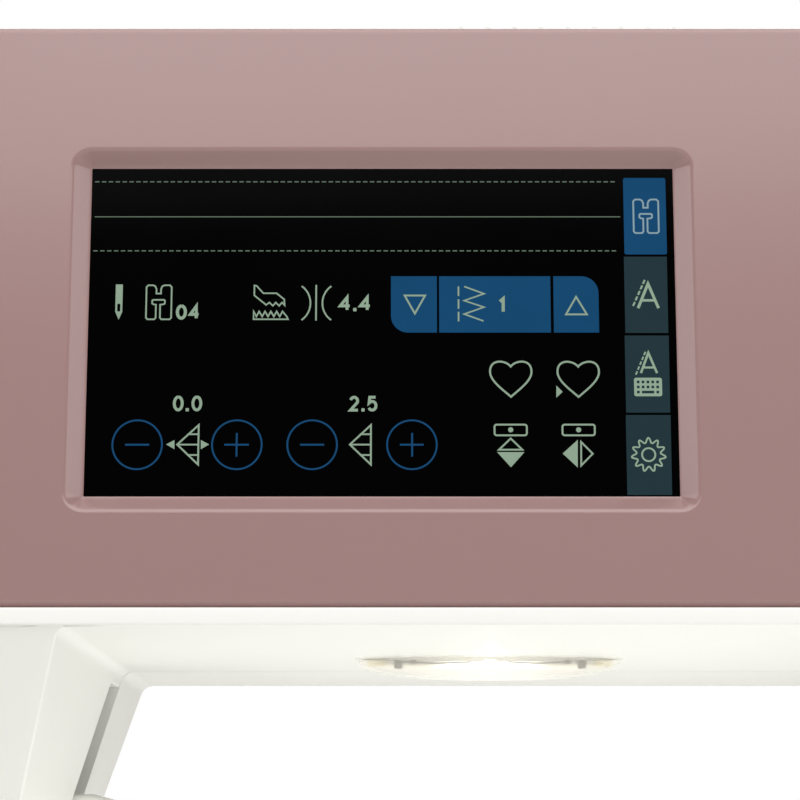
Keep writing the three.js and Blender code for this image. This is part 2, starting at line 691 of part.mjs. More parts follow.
// The lifter leaves the head through the slot in its inner wall.
function lifterLever() {
  const { x, z } = LEVER_PIVOT;
  const shape = new THREE.Shape();
  shape.moveTo(x, z - 5.5);
  shape.lineTo(4, 151.5);
  shape.quadraticCurveTo(18, 148, 31, 142.5);
  shape.lineTo(33, 147);
  shape.quadraticCurveTo(20, 153, 6, 156.2);
  shape.lineTo(-8, 156.5);
  shape.lineTo(x, z + 5.5);
  shape.absarc(x, z, 5.5, Math.PI / 2, 1.5 * Math.PI);
  return cut(plate(shape, LEVER_Y.front, LEVER_Y.back, 4), rod("y", 3.3, 10, 40, x, z, 16));
}
add("lifter_lever", lifterLever(), WHITE);

// ---------- needle plate and feed ----------
const PLATE_X = [NEEDLE_X - 22, NEEDLE_X + 22];
const FEED_X = [-49.5, -34.5]; // left edges of the two toothed strips
const FEED_WIDTH = 4;
function needlePlate() {
  const blank = box(...PLATE_X, -7.5, 30, 70, BED_Z);
  const slot = box(NEEDLE_X - 4.5, NEEDLE_X + 4.5, -1, 1, 69, 73);
  const feed = FEED_X.map((x) => box(x - 0.5, x + FEED_WIDTH + 0.5, 2, 22, 69, 73));
  return cut(blank, slot, ...feed);
}
add("needle_plate", needlePlate(), STEEL);
const grips = [-37, -34, -31].map((y) => box(NEEDLE_X - 9, NEEDLE_X + 9, y, y + 1.4, BED_Z - 0.8, BED_Z + 1));
add("bobbin_cover", cut(box(...PLATE_X, -41, -7.8, 70, BED_Z), ...grips), CLEAR);

function feedDog() {
  const y0 = 3;
  const y1 = 21;
  const pitch = 2;
  const top = 71.2;
  const points = [[y0, 59]];
  for (let y = y0; y < y1 - 0.01; y += pitch) points.push([y, top - 1.2], [y + pitch * 0.3, top]);
  points.push([y1, top - 1.2], [y1, 59]);
  const strips = FEED_X.map((x) => rib(polygon(points), x, x + FEED_WIDTH));
  return join(box(-52, -28, y0, 24, 57, 61), ...strips);
}
add("feed_dog", feedDog(), STEEL);

// ---------- free arm, bed and base ----------
function freeArm() {
  const outline = (t) => rounded(-98 + t, 100.7 + 20, -41 + t, 41 - t, 14 - t);
  const shell = cut(
    slab(outline(0), 24, BED_Z, 9),
    slab(outline(WALL), 24 + WALL, BED_Z - WALL),
    box(100.7, 200, -60, 60, 0, 100),
  );
  return cut(
    shell,
    box(PLATE_X[0] - GAP, PLATE_X[1] + GAP, -50, 30 + GAP, 69, 80),
    box(PLATE_X[0] - GAP, PLATE_X[1] + GAP, -50, -37, 66, 80),
  );
}
add("free_arm_cover", freeArm(), WHITE);

const BED = { x0: 101, x1: 290, y0: -78, y1: 70, z0: 14.3 };
const SWITCH = { y: 22, z: 46 };
const INLET = { y: -12, z: 46 };
function bedCasing() {
  const outline = (t) => rounded(BED.x0 + t, BED.x1 - t, BED.y0 + t, BED.y1 - t, 12 - t);
  return cut(
    slab(outline(0), BED.z0, BED_Z, 9),
    slab(outline(WALL), BED.z0 - 1, BED_Z - WALL),
    box(164, 281, -57, 57, BED_Z - 5, BED_Z + 1),
    box(BED.x0 - 1, BED.x0 + 4, -38, 38, 27, 69),
    box(BED.x1 - 4, BED.x1 + 1, SWITCH.y - 8, SWITCH.y + 8, SWITCH.z - 7.5, SWITCH.z + 7.5),
    box(BED.x1 - 4, BED.x1 + 1, INLET.y - 12 - GAP, INLET.y + 12 + GAP, INLET.z - 9 - GAP, INLET.z + 9 + GAP),
  );
}
add("bed_casing", bedCasing(), WHITE);
add(
  "power_switch",
  box(BED.x1 - 6, BED.x1 + 1.5, SWITCH.y - 7.6, SWITCH.y + 7.6, SWITCH.z - 6.7, SWITCH.z + 6.7),
  BLACK,
);
function powerInlet() {
  const body = box(BED.x1 - 20, BED.x1 + 0.3, INLET.y - 12, INLET.y + 12, INLET.z - 9, INLET.z + 9);
  const mouth = box(BED.x1 - 14, BED.x1 + 1, INLET.y - 9, INLET.y + 9, INLET.z - 5.5, INLET.z + 5.5);
  const pins = [-4.5, 4.5].map((dy) => rod("x", 1.2, BED.x1 - 16, BED.x1 - 4, INLET.y + dy, INLET.z, 10));
  return join(cut(body, mouth), ...pins);
}
add("power_inlet", powerInlet(), BLACK);

function basePlate() {
  const arm = (t) => box(-98 + t, BED.x0 + 5, -41 + t, 41 - t, 8 + t, 14 + t);
  const bed = (t) => slab(rounded(BED.x0 + t, BED.x1 - t, BED.y0 + t, BED.y1 - t, 12 - t), 8 + t, 14 + t);
  return cut(join(arm(0), bed(0)), join(arm(3), bed(3)));
}
add("base_plate", basePlate(), GREY);
const FEET = [
  [-84, -28],
  [-84, 28],
  [275, -63],
  [275, 55],
];
FEET.forEach(([x, y], i) => add(`rubber_foot_${i + 1}`, rod("z", 8, 0, 8 - GAP, x, y, 20, 9), RUBBER));

// ---------- embroidery unit ----------
// A left block with a leg before and a leg behind the free arm.
function unitOutline(t) {
  const r = 16;
  const shape = new THREE.Shape();
  const x0 = UNIT.left + t;
  const inner = UNIT.inner - t;
  const x1 = UNIT.right - t;
  const half = UNIT.halfDepth - t;
  shape.moveTo(x0 + r, -half);
  shape.lineTo(inner - r, -half);
  shape.absarc(inner - r, -half + r, r, -Math.PI / 2, 0);
  shape.lineTo(inner, UNIT.frontLeg + t);
  shape.lineTo(x1, UNIT.frontLeg + t);
  shape.lineTo(x1, -UNIT.gapHalf - t);
  shape.lineTo(inner, -UNIT.gapHalf - t);
  shape.lineTo(inner, UNIT.gapHalf + t);
  shape.lineTo(x1, UNIT.gapHalf + t);
  shape.lineTo(x1, UNIT.rearLeg - t);
  shape.lineTo(inner, UNIT.rearLeg - t);
  shape.lineTo(inner, half - r);
  shape.absarc(inner - r, half - r, r, 0, Math.PI / 2);
  shape.lineTo(x0 + r, half);
  shape.absarc(x0 + r, half - r, r, Math.PI / 2, Math.PI);
  shape.lineTo(x0, -half + r);
  shape.absarc(x0 + r, -half + r, r, Math.PI, 1.5 * Math.PI);
  return shape;
}
const UNIT_SLOT = box(-258, -87, GUIDE.y - 10, GUIDE.y + 10, 60, 80);
// The front leg is stepped down where the bobbin cover slides forward over it.
const COVER_TRAVEL = 30;
function unitCasing() {
  const shell = cut(slab(unitOutline(0), 8, BED_Z, 9), slab(unitOutline(WALL), 7, BED_Z - WALL));
  const step = box(PLATE_X[0] - 4, PLATE_X[1] + 4, -41 - COVER_TRAVEL - 5, -UNIT.gapHalf - 1, 66.5, 71);
  const recess = box(PLATE_X[0] - 1, PLATE_X[1] + 1, -41 - COVER_TRAVEL - 2, -40, 69.6, 80);
  return cut(join(shell, step), recess, UNIT_SLOT);
}
add("unit_casing", unitCasing(), WHITE);
function unitBase() {
  const pads = [
    [-290, -130],
    [-290, 130],
    [-125, -130],
    [-125, 130],
    [80, -61],
    [80, 75],
  ].map(([x, y]) => rod("z", 8, 0, 5, x, y, 16, 9));
  const posts = [-296, -76].map((x) => box(x, x + 8, GUIDE.y - 9, GUIDE.y + 9, 7, GUIDE.z + 8));
  return cut(
    join(slab(unitOutline(0), 4, 7.7), ...pads, ...posts),
    rod("x", GUIDE.r + GAP, -300, -60, GUIDE.y, GUIDE.z, 20),
  );
}
add("unit_base", unitBase(), GREY);
add("x_guide_rod", rod("x", GUIDE.r, -298, -66, GUIDE.y, GUIDE.z, 20), STEEL);

const Y_ROD = { x: -165, z: 92, r: 2.5 };
function carriageArm() {
  const { left, right, halfLength, bottom, top } = CARRIAGE;
  const shell = cut(
    slab(rounded(left, right, -halfLength, halfLength, 10), bottom, top, 9),
    slab(rounded(left + WALL, right - WALL, -halfLength + WALL, halfLength - WALL, 7.5), bottom + WALL, top - WALL),
    box(right - 5, right + 1, -126, 126, Y_ROD.z - 4, Y_ROD.z + 4),
  );
  const neck = box(-190, -155, GUIDE.y - 8, GUIDE.y + 8, GUIDE.z - 8, bottom + 1);
  const rail = rod("y", Y_ROD.r, -halfLength + 1, halfLength - 1, Y_ROD.x, Y_ROD.z, 16);
  return cut(join(shell, neck, rail), rod("x", GUIDE.r + GAP, -200, -140, GUIDE.y, GUIDE.z, 20));
}
add("carriage_arm", carriageArm(), WHITE);

function hoopConnector() {
  const clip = box(-144.6, -134, -30, 30, 77, 97);
  const tongue = box(-160, -144, -20, 20, Y_ROD.z - 3.5, Y_ROD.z + 3.5);
  const slider = box(-174, -156, -20, 20, Y_ROD.z - 9, Y_ROD.z + 9);
  return cut(join(clip, tongue, slider), rod("y", Y_ROD.r + GAP, -50, 50, Y_ROD.x, Y_ROD.z, 16));
}
add("hoop_connector", hoopConnector(), GREY);

// ---------- hoop ----------
const HOOP = { x: NEEDLE_X, halfX: 79, halfY: 106 }; // inside of the inner ring
const ringOutline = (t) =>
  rounded(HOOP.x - HOOP.halfX - t, HOOP.x + HOOP.halfX + t, -HOOP.halfY - t, HOOP.halfY + t, 26 + t);
const ring = (inner, width, z0, z1) =>
  cut(slab(ringOutline(inner + width), z0, z1, 10), slab(ringOutline(inner), z0 - 1, z1 + 1, 10));
const HOOP_SCREW = { y: -HOOP.halfY - 19, z: 79 };
function outerRing() {
  const bracket = box(-133.7, -125, -26, 26, 76, 84);
  const lugs = box(HOOP.x - 12, HOOP.x + 12, HOOP_SCREW.y - 5, -HOOP.halfY - 6, HOOP_BOTTOM, 83.5);
  const whole = join(ring(4.6, 6, HOOP_BOTTOM, 83), bracket, lugs);
  return cut(
    whole,
    slab(ringOutline(4.6), HOOP_BOTTOM - 1, 90, 10),
    box(HOOP.x - 1.2, HOOP.x + 1.2, HOOP_SCREW.y - 9, -HOOP.halfY, 70, 90),
    rod("x", 2.3, HOOP.x - 20, HOOP.x + 20, HOOP_SCREW.y, HOOP_SCREW.z, 16),
  );
}
add("hoop_outer_ring", outerRing(), GREY);
add("hoop_inner_ring", ring(0, 4, HOOP_BOTTOM + 0.3, 84), GREY);
add(
  "hoop_screw",
  join(
    rod("x", 2, HOOP.x - 14, HOOP.x + 14, HOOP_SCREW.y, HOOP_SCREW.z, 16),
    rod("x", 5.4, HOOP.x + 12.5, HOOP.x + 24, HOOP_SCREW.y, HOOP_SCREW.z, 20),
  ),
  STEEL,
);

export default group;
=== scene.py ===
"""The looks of the embroidery machine, in millimetres that become metres as each mesh is made."""
import math

import bmesh
import bpy
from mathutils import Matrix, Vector
from mathutils.geometry import delaunay_2d_cdt


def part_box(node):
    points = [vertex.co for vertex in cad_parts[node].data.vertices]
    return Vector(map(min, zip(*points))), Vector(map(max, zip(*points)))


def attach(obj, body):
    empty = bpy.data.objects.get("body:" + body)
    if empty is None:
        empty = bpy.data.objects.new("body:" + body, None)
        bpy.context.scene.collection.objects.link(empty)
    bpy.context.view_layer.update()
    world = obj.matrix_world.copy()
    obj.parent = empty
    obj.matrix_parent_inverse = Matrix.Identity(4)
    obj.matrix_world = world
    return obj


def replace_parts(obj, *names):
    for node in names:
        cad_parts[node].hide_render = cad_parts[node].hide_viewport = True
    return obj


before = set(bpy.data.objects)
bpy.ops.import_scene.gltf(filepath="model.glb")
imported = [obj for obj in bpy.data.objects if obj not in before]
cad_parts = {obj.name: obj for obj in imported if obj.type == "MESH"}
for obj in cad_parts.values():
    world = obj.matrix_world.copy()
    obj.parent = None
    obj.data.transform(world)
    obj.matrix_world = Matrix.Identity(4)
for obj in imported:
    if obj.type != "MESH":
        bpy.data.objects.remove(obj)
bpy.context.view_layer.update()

MM = 0.001


def show(obj):
    bpy.context.scene.collection.objects.link(obj)


# ---------- measuring the frame ----------
def span(node):
    """The lowest and highest corner of a CAD node, in millimetres."""
    low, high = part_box(node)
    return low / MM, high / MM


def middle(node):
    low, high = span(node)
    return (low + high) / 2


PANEL_LOW, PANEL_HIGH = span("front_panel")
FACE = PANEL_LOW.y  # plane of the fascia
GLASS = span("screen_glass")[0].y
LENS_LOW, LENS_HIGH = span("arm_light_lens")
LENS_MIDDLE = (LENS_LOW.x + LENS_HIGH.x) / 2
ARM_UNDER = LENS_HIGH.z - 2
BED_TOP = span("needle_plate")[1].z
DECK_TOP = 264
NEEDLE = middle("needle")
RIGHT_WALL = span("bed_casing")[1].x
COLUMN_RIGHT = span("front_shell")[1].x
BACK = span("rear_shell")[1].y

# The visible part of the screen, and the opening that slopes down to it.
SCREEN_LEFT, SCREEN_TOP = 13.05, 255.5
SCREEN_WIDTH, SCREEN_HEIGHT = 95.5, 54.6
RECESS_RUN = 3.4
RECESS_RISE = 3.0
RECESS_CORNER = 3.6

# The keys, each with the body that it moves with.
KEYS = {
    "reverse_button": "reverse_key",
    "needle_position_button": "needle_key",
    "thread_cutter_button": "cutter_key",
    "foot_lift_button": "foot_key",
    "start_stop_button": "start_key",
}
ROUND_KEY = "start_stop_button"
SPEED_SLOT = (-45.5, -13.5, 200, 204)  # left, right, low, high
STATUS_LAMP = (-48.5, 226)

CAMERA_SPOT = (63.7, -423.3, 143.2)
CAMERA_TILT = 101.42  # degrees up from straight down
CAMERA_LENS = 103.5


# ---------- camera ----------
def make_camera():
    data = bpy.data.cameras.new("camera")
    data.sensor_width = 36
    data.lens = CAMERA_LENS
    data.clip_start = 0.01
    camera = bpy.data.objects.new("camera", data)
    camera.location = Vector(CAMERA_SPOT) * MM
    camera.rotation_euler = (math.radians(CAMERA_TILT), 0, 0)
    show(camera)
    bpy.context.scene.camera = camera


make_camera()


# ---------- materials ----------
def srgb(red, green, blue):
    """A display colour of 0 to 255, as Blender's linear colour."""
    def linear(c):
        c /= 255
        return c / 12.92 if c <= 0.04045 else ((c + 0.055) / 1.055) ** 2.4

    return (linear(red), linear(green), linear(blue), 1)


def shaded(color, factor):
    return tuple(c * factor for c in color[:3]) + (1,)


class Nodes:
    """A new material's node tree, with short ways to add to it."""

    def __init__(self, name):
        self.material = bpy.data.materials.new(name)
        self.material.use_nodes = True
        self.tree = self.material.node_tree
        self.shader = self.tree.nodes["Principled BSDF"]
        self.place = self.add("ShaderNodeTexCoord").outputs["Object"]

    def join(self, socket, value):
        if isinstance(value, bpy.types.NodeSocket):
            self.tree.links.new(value, socket)
        else:
            socket.default_value = value

    def add(self, kind, **inputs):
        node = self.tree.nodes.new(kind)
        for name, value in inputs.items():
            self.join(node.inputs[name.replace("_", " ")], value)
        return node

    def set(self, **inputs):
        for name, value in inputs.items():
            self.join(self.shader.inputs[name.replace("_", " ")], value)

    def compute(self, operation, *values):
        node = self.tree.nodes.new("ShaderNodeMath")
        node.operation = operation
        for socket, value in zip(node.inputs, values):
            self.join(socket, value)
        return node.outputs[0]

    def noise(self, scale, detail=3, vector=None):
        node = self.add("ShaderNodeTexNoise", Vector=vector or self.place, Scale=scale, Detail=detail)
        return node.outputs[0]

    def between(self, factor, low, high):
        """The middle stretch of a noise, spread over low to high."""
        ends = {"From_Min": 0.3, "From_Max": 0.7, "To_Min": low, "To_Max": high}
        return self.add("ShaderNodeMapRange", Value=factor, **ends).outputs["Result"]

    def blend(self, factor, first, second):
        node = self.tree.nodes.new("ShaderNodeMix")
        node.data_type = "RGBA"
        self.join(node.inputs["Factor"], factor)
        self.join(node.inputs[6], first)
        self.join(node.inputs[7], second)
        return node.outputs[2]

    def bump(self, height, depth):
        """Raises the surface by up to depth millimetres where height is 1."""
        return self.add("ShaderNodeBump", Height=height, Distance=depth * MM).outputs["Normal"]

    def stretched(self, x, y, z):
        return self.add("ShaderNodeMapping", Vector=self.place, Scale=(x, y, z)).outputs["Vector"]


def plastic(name, color, roughness, grain=0.02, grain_scale=2500, variation=0.03, spread=0.045, **more):
    """Moulded plastic: a fine grain, faint cloudiness, and gloss that wanders a little."""
    n = Nodes(name)
    cloud = n.between(n.noise(28), 0, 1)
    n.set(Base_Color=n.blend(cloud, shaded(color, 1 - variation), shaded(color, 1 + variation / 2)))
    n.set(Roughness=n.between(n.noise(90, 4), roughness - spread, roughness + spread))
    n.set(Normal=n.bump(n.noise(grain_scale, 2), grain))
    n.set(**more)
    return n.material


def metal(name, color, roughness, stretch=(1, 1, 40), scale=300, depth=0.004):
    """Ground metal: fine lines along one axis, and duller patches from handling."""
    n = Nodes(name)
    lines = n.noise(scale, 4, n.stretched(*stretch))
    n.set(Base_Color=n.blend(n.between(n.noise(60), 0, 1), shaded(color, 0.88), color), Metallic=1.0)
    n.set(Roughness=n.between(n.noise(120, 5), roughness - 0.07, roughness + 0.1))
    n.set(Normal=n.bump(lines, depth))
    return n.material


def glowing(name, color, strength=1.0):
    """A lit part of the screen, with the faint unevenness of its back light."""
    n = Nodes(name)
    n.set(Base_Color=(0, 0, 0, 1), Roughness=0.3, Specular_IOR_Level=0.02, Emission_Strength=strength)
    n.set(Emission_Color=n.blend(n.between(n.noise(160, 2), 0, 1), shaded(color, 0.97), shaded(color, 1.03)))
    return n.material


def glass_material():
    n = Nodes("screen_black_glass")
    n.set(Base_Color=n.blend(n.noise(15), (0.0002, 0.0002, 0.0002, 1), (0.0004, 0.0004, 0.0004, 1)))
    n.set(Roughness=n.between(n.noise(35, 4), 0.06, 0.12), Specular_IOR_Level=0.02)
    return n.material


def clear_material(name, color, alpha):
    n = Nodes(name)
    n.set(Base_Color=n.blend(n.between(n.noise(200, 3), 0, 1), shaded(color, 0.95), color))
    n.set(Roughness=n.between(n.noise(400), 0.08, 0.14), Alpha=alpha)
    n.set(Normal=n.bump(n.noise(500, 2), 0.02))
    return n.material


def painted_glow_material(name, reach, color, low, high, **more):
    """Plastic with a painted glow of the lamp's light: emission brightest beside the lamp, and dim at its
    ends.
    """
    n = Nodes(name)
    x = n.add("ShaderNodeSeparateXYZ", Vector=n.place).outputs["X"]
    away = n.compute("ABSOLUTE", n.compute("SUBTRACT", x, LENS_MIDDLE * MM))
    fall = n.add("ShaderNodeMapRange", Value=away, From_Min=0.0, From_Max=reach * MM, To_Min=high, To_Max=low)
    fall.interpolation_type = "SMOOTHERSTEP"
    n.set(Base_Color=color, Emission_Color=color, Emission_Strength=fall.outputs["Result"], **more)
    return n.material


WHITE = plastic("white_plastic", (0.85, 0.845, 0.81, 1), 0.4, grain=0.01, variation=0.006, spread=0.02)
ROSE = plastic("rose_plastic", (0.304, 0.177, 0.17, 1), 0.18, grain=0.002, grain_scale=4000,
               variation=0.004, spread=0.004, Specular_IOR_Level=0.72)
BUTTON = plastic("button_plastic", (0.80, 0.79, 0.76, 1), 0.3, grain=0.006)
GREY = plastic("grey_plastic", (0.26, 0.26, 0.265, 1), 0.5, grain=0.03, grain_scale=1800)
PALE_GREY = plastic("pale_grey_plastic", (0.56, 0.56, 0.55, 1), 0.45, grain=0.02)
BLACK = plastic("black_plastic", (0.018, 0.018, 0.019, 1), 0.5, grain=0.03, grain_scale=1800)
RUBBER = plastic("rubber", (0.03, 0.03, 0.03, 1), 0.75, grain=0.05, grain_scale=1200)
PRINT = plastic("printed_ink", (0.10, 0.10, 0.105, 1), 0.55, grain=0.004)
ROSE_PRINT = plastic("rose_ink", (0.30, 0.16, 0.155, 1), 0.5, grain=0.004)
BOBBIN_INK = plastic("bobbin_ring_ink", (0.5, 0.5, 0.5, 1), 0.5, grain=0.004)
HOOP_INK = plastic("hoop_ink", (0.7, 0.7, 0.69, 1), 0.5, grain=0.004)
FELT = plastic("felt", (0.42, 0.41, 0.40, 1), 0.95, grain=0.4, grain_scale=1500,
               variation=0.12, Sheen_Weight=0.4)
BRISTLE = plastic("bristles", (0.022, 0.022, 0.024, 1), 0.9, grain=0.5, grain_scale=2600, variation=0.3)
STEEL = metal("steel", (0.62, 0.62, 0.63, 1), 0.22)
TURNED = metal("turned_steel", (0.6, 0.6, 0.61, 1), 0.28, stretch=(40, 1, 1))
PLATE = metal("plate_steel", (0.66, 0.66, 0.66, 1), 0.3, stretch=(2, 60, 1))
CAST = metal("cast_alloy", (0.5, 0.5, 0.51, 1), 0.5, stretch=(1, 1, 1), scale=900, depth=0.05)
BRASS = metal("pin_metal", (0.75, 0.66, 0.48, 1), 0.3)
GLASS_BLACK = glass_material()
CLEAR = clear_material("clear_plastic", (0.95, 0.93, 0.86, 1), 0.28)
SMOKED = clear_material("smoked_plastic", (0.62, 0.63, 0.65, 1), 0.3)
AMBER = clear_material("amber_tip", (0.93, 0.80, 0.42, 1), 0.35)
# The light guide's emission is a painted glow of the lamp's light, strongest beside the lamp.
GUIDE_PAINTED_GLOW = painted_glow_material("light_guide_painted_glow", 13, (0.93, 0.9, 0.78, 1), 0.0, 3.5, Roughness=0.3)
# The lens's emission is a painted glow of the lamp's light in the clear plastic, strongest beside the lamp.
LENS_PAINTED_GLOW = painted_glow_material("clear_plastic_painted_glow", 20, (1, 0.97, 0.88, 1), 0.08, 0.3, Roughness=0.08, Alpha=0.32)
LED = glowing("led", (1, 0.97, 0.86, 1), 14)
STATUS = glowing("status_lamp", (0.15, 0.8, 0.25, 1), 1.2)
INK = glowing("screen_ink", srgb(143, 165, 144))
TAB_INK = glowing("screen_tab_ink", srgb(146, 168, 146))
RING_BLUE = glowing("screen_ring_blue", srgb(25, 72, 112))
KEY_BLUE = glowing("screen_key_blue", srgb(20, 71, 110))
TAB_TEAL = glowing("screen_tab_teal", srgb(35, 54, 60))
FAINT_INK = glowing("screen_faint_ink", srgb(95, 112, 96))
FOOT_INK = glowing("screen_soft_ink", srgb(136, 160, 168))


# ---------- outlines ----------
def rounded(x0, x1, z0, z1, r, steps):
    """A rectangle with round corners, anticlockwise."""
    corners = ((x1 - r, z0 + r, -90), (x1 - r, z1 - r, 0), (x0 + r, z1 - r, 90), (x0 + r, z0 + r, 180))
    points = []
    for cx, cz, start in corners:
        for i in range(steps + 1):
            a = math.radians(start + 90 * i / steps)
            points.append((cx + r * math.cos(a), cz + r * math.sin(a)))
    return points


def circle(x, y, r, sides):
    turn = [2 * math.pi * i / sides for i in range(sides)]
    return [(x + r * math.cos(a), y + r * math.sin(a)) for a in turn]


def quarter_rows(r, steps):
    """How far in and how deep a round edge of radius r is, from the flat face to its side."""
    rows = []
    for i in range(steps + 1):
        a = math.pi / 2 * i / steps
        rows.append((r * (1 - math.sin(a)), r * (1 - math.cos(a))))
    return rows


def bezier(p0, p1, p2, p3, steps=12):
    """Points along a curve, without its last one."""
    points = []
    for i in range(steps):
        t = i / steps
        weights = ((1 - t) ** 3, 3 * t * (1 - t) ** 2, 3 * t * t * (1 - t), t**3)
        points.append(tuple(sum(w * p[k] for w, p in zip(weights, (p0, p1, p2, p3))) for k in (0, 1)))
    return points


def inside(point, loop):
    """Whether a flat point lies inside a loop."""
    x, y = point
    crossings = 0
    for i, (x1, y1) in enumerate(loop):
        x0, y0 = loop[i - 1]
        if (y0 > y) != (y1 > y) and x < x0 + (y - y0) / (y1 - y0) * (x1 - x0):
            crossings += 1
    return crossings % 2 == 1


def flat_fill(outer, *holes):
    """Triangles between a loop and the holes in it."""
    points, edges = [], []
    for loop in (outer,) + holes:
        start = len(points)
        points += [Vector(p) for p in loop]
        edges += [(start + i, start + (i + 1) % len(loop)) for i in range(len(loop))]
    filled = delaunay_2d_cdt(points, edges, [], 1, 1e-5)
    points = [tuple(p) for p in filled[0]]
    kept = []
    for triangle in filled[2]:
        centre = [sum(points[i][k] for i in triangle) / 3 for k in (0, 1)]
        if not any(inside(centre, hole) for hole in holes):
            kept.append(triangle)
    return points, kept


# ---------- making meshes ----------
class Build:
    """Points and faces gathered in millimetres."""

    def __init__(self):
        self.points, self.faces = [], []

    def add(self, points, faces):
        start = len(self.points)
        self.points += points
        self.faces += [[start + i for i in f] for f in faces]

    def strip(self, loops):
        """Quads from each closed loop to the next."""
        n = len(loops[0])
        faces = []
        for row in range(len(loops) - 1):
            for i in range(n):
                a, b = row * n + i, row * n + (i + 1) % n
                faces.append((a, b, b + n, a + n))
        self.add([p for loop in loops for p in loop], faces)

    def cap(self, loop):
        self.add(list(loop), [list(range(len(loop)))])

    def stack(self, loops):
        """A solid through closed loops, with a flat face at each end."""
        self.strip(loops)
        self.cap(loops[0])
        self.cap(loops[-1])

    def piece(self, name, material, body="machine", slot=None, angle=35, weighted=True):
        """Makes one mesh of it, as a piece that rides on a body."""
        mesh = bpy.data.meshes.new(name)
        mesh.from_pydata([Vector(p) * MM for p in self.points], [], self.faces)
        shape = bmesh.new()
        shape.from_mesh(mesh)
        bmesh.ops.remove_doubles(shape, verts=shape.verts, dist=0.002 * MM)
        bmesh.ops.recalc_face_normals(shape, faces=shape.faces)
        shape.to_mesh(mesh)
        shape.free()
        mesh.materials.append(material)
        mesh.shade_smooth()
        mesh.set_sharp_from_angle(angle=math.radians(angle))
        obj = bpy.data.objects.new(name, mesh)
        show(obj)
        if weighted:
            normals = obj.modifiers.new("normals", "WEIGHTED_NORMAL")
            normals.keep_sharp = True
        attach(obj, body)
        return obj


# Which way a flat outline faces, and so where its two axes and its height go.
FACING = {
    "front": lambda u, v, h: (u, -h, v),
    "back": lambda u, v, h: (u, h, v),
    "right": lambda u, v, h: (h, u, v),
    "up": lambda u, v, h: (u, v, h),
    "down": lambda u, v, h: (u, v, -h),
}


def plane(facing, height):
    """Where flat points go on a plane of the machine."""
    return lambda u, v: FACING[facing](u, v, height)


def raised(made, outline, base, top, facing, edge):
    """Adds a block whose outline(t) is drawn in by t, standing from base to top along its facing."""
    at = FACING[facing]
    rows = [(0, base)] + [(inset, top - depth) for inset, depth in reversed(quarter_rows(edge, 3))]
    made.stack([[at(u, v, h) for u, v in outline(inset)] for inset, h in rows])


def block(made, corners, r, base, top, facing, edge, steps):
    """Adds a raised block whose corners keep their radius."""
    x0, x1, y0, y1 = corners
    raised(made, lambda t: rounded(x0 + t, x1 - t, y0 + t, y1 - t, r, steps), base, top, facing, edge)


def evenly(start, step, count):
    return [start + step * i for i in range(count)]


def blocks(name, material, places, r, base, top, facing, edge, steps, **more):
    """A piece made of a block at each place."""
    made = Build()
    for corners in places:
        block(made, corners, r, base, top, facing, edge, steps)
    made.piece(name, material, **more)


def pad(name, material, corners, r, base, top, facing, edge=0.3, **more):
    """A raised block whose corners tighten towards its top."""
    x0, x1, y0, y1 = corners
    made = Build()

    def outline(t):
        return rounded(x0 + t, x1 - t, y0 + t, y1 - t, max(r - t, 0.05), 6)

    raised(made, outline, base, top, facing, edge)
    made.piece(name, material, **more)


def band(name, material, corners, r, width, base, top, facing):
    """A raised band round a rectangular opening."""
    x0, x1, y0, y1 = corners
    at = FACING[facing]
    low = base - 2.5
    rows = ((0, base), (0.05, top - 0.2), (0.25, top), (width - 0.25, top), (width, top - 0.2), (width, low))
    loops = []
    for t, h in rows:
        loop = rounded(x0 + t, x1 - t, y0 + t, y1 - t, max(r - t, 0.2), 6)
        loops.append([at(u, v, h) for u, v in loop])
    made = Build()
    made.strip(loops)
    made.piece(name, material)


def turned(made, profile, centre, axis, sides, teeth=0, hollow=False):
    """Adds a profile of (radius, distance along the axis, depth of its flutes), turned round the axis."""
    loops = []
    for radius, along, *flute in profile:
        loop = []
        for i in range(sides):
            a = 2 * math.pi * i / sides
            r = radius - (flute[0] if flute else 0) * (0.5 - 0.5 * math.cos(teeth * a))
            u, v = r * math.cos(a), r * math.sin(a)
            offset = {"x": (along, u, v), "y": (v, along, u), "z": (u, v, along)}[axis]
            loop.append(tuple(c + o for c, o in zip(centre, offset)))
        loops.append(loop)
    if hollow:
        made.strip(loops + loops[:1])
    else:
        made.stack(loops)


def turned_piece(name, material, profile, centre, axis, sides, teeth=0, hollow=False, **more):
    made = Build()
    turned(made, profile, centre, axis, sides, teeth, hollow)
    return made.piece(name, material, **more)


def sweep(made, path, r, sides):
    """Adds a round wire along points."""
    points = [Vector(p) for p in path]
    turn = [2 * math.pi * k / sides for k in range(sides)]
    loops = []
    side = None
    for i, p in enumerate(points):
        along = (points[min(i + 1, len(points) - 1)] - points[max(i - 1, 0)]).normalized()
        side = side or along.orthogonal()
        side = (side - along * side.dot(along)).normalized()
        other = along.cross(side)
        loops.append([tuple(p + (side * math.cos(a) + other * math.sin(a)) * r) for a in turn])
    made.stack(loops)


def cross_loop(r, width):
    """The outline of a screw's cross."""
    w = width / 2
    arm = [(w, w), (r, w), (r, -w), (w, -w)]
    points = []
    for turn in range(4):
        a = -math.pi / 2 * turn
        points += [(x * math.cos(a) - y * math.sin(a), x * math.sin(a) + y * math.cos(a)) for x, y in arm]
    return points[::-1]


def screw(made, u0, v0, base, r, facing, height):
    """Adds a domed screw head with a cross cut into it."""
    at = FACING[facing]
    cross = [(u0 + u, v0 + v) for u, v in cross_loop(r * 0.55, r * 0.3)]
    rows = [(0, 0), (0, height * 0.3), (0.12 * r, height * 0.65), (0.3 * r, height)]
    made.strip([[at(u, v, base + h) for u, v in circle(u0, v0, r - inset, 32)] for inset, h in rows])
    points, faces = flat_fill(circle(u0, v0, r * 0.7, 32), cross)
    made.add([at(u, v, base + height) for u, v in points], faces)
    floor = [at(u, v, base + height * 0.3) for u, v in cross]
    made.strip([[at(u, v, base + height) for u, v in cross], floor])
    made.cap(floor)



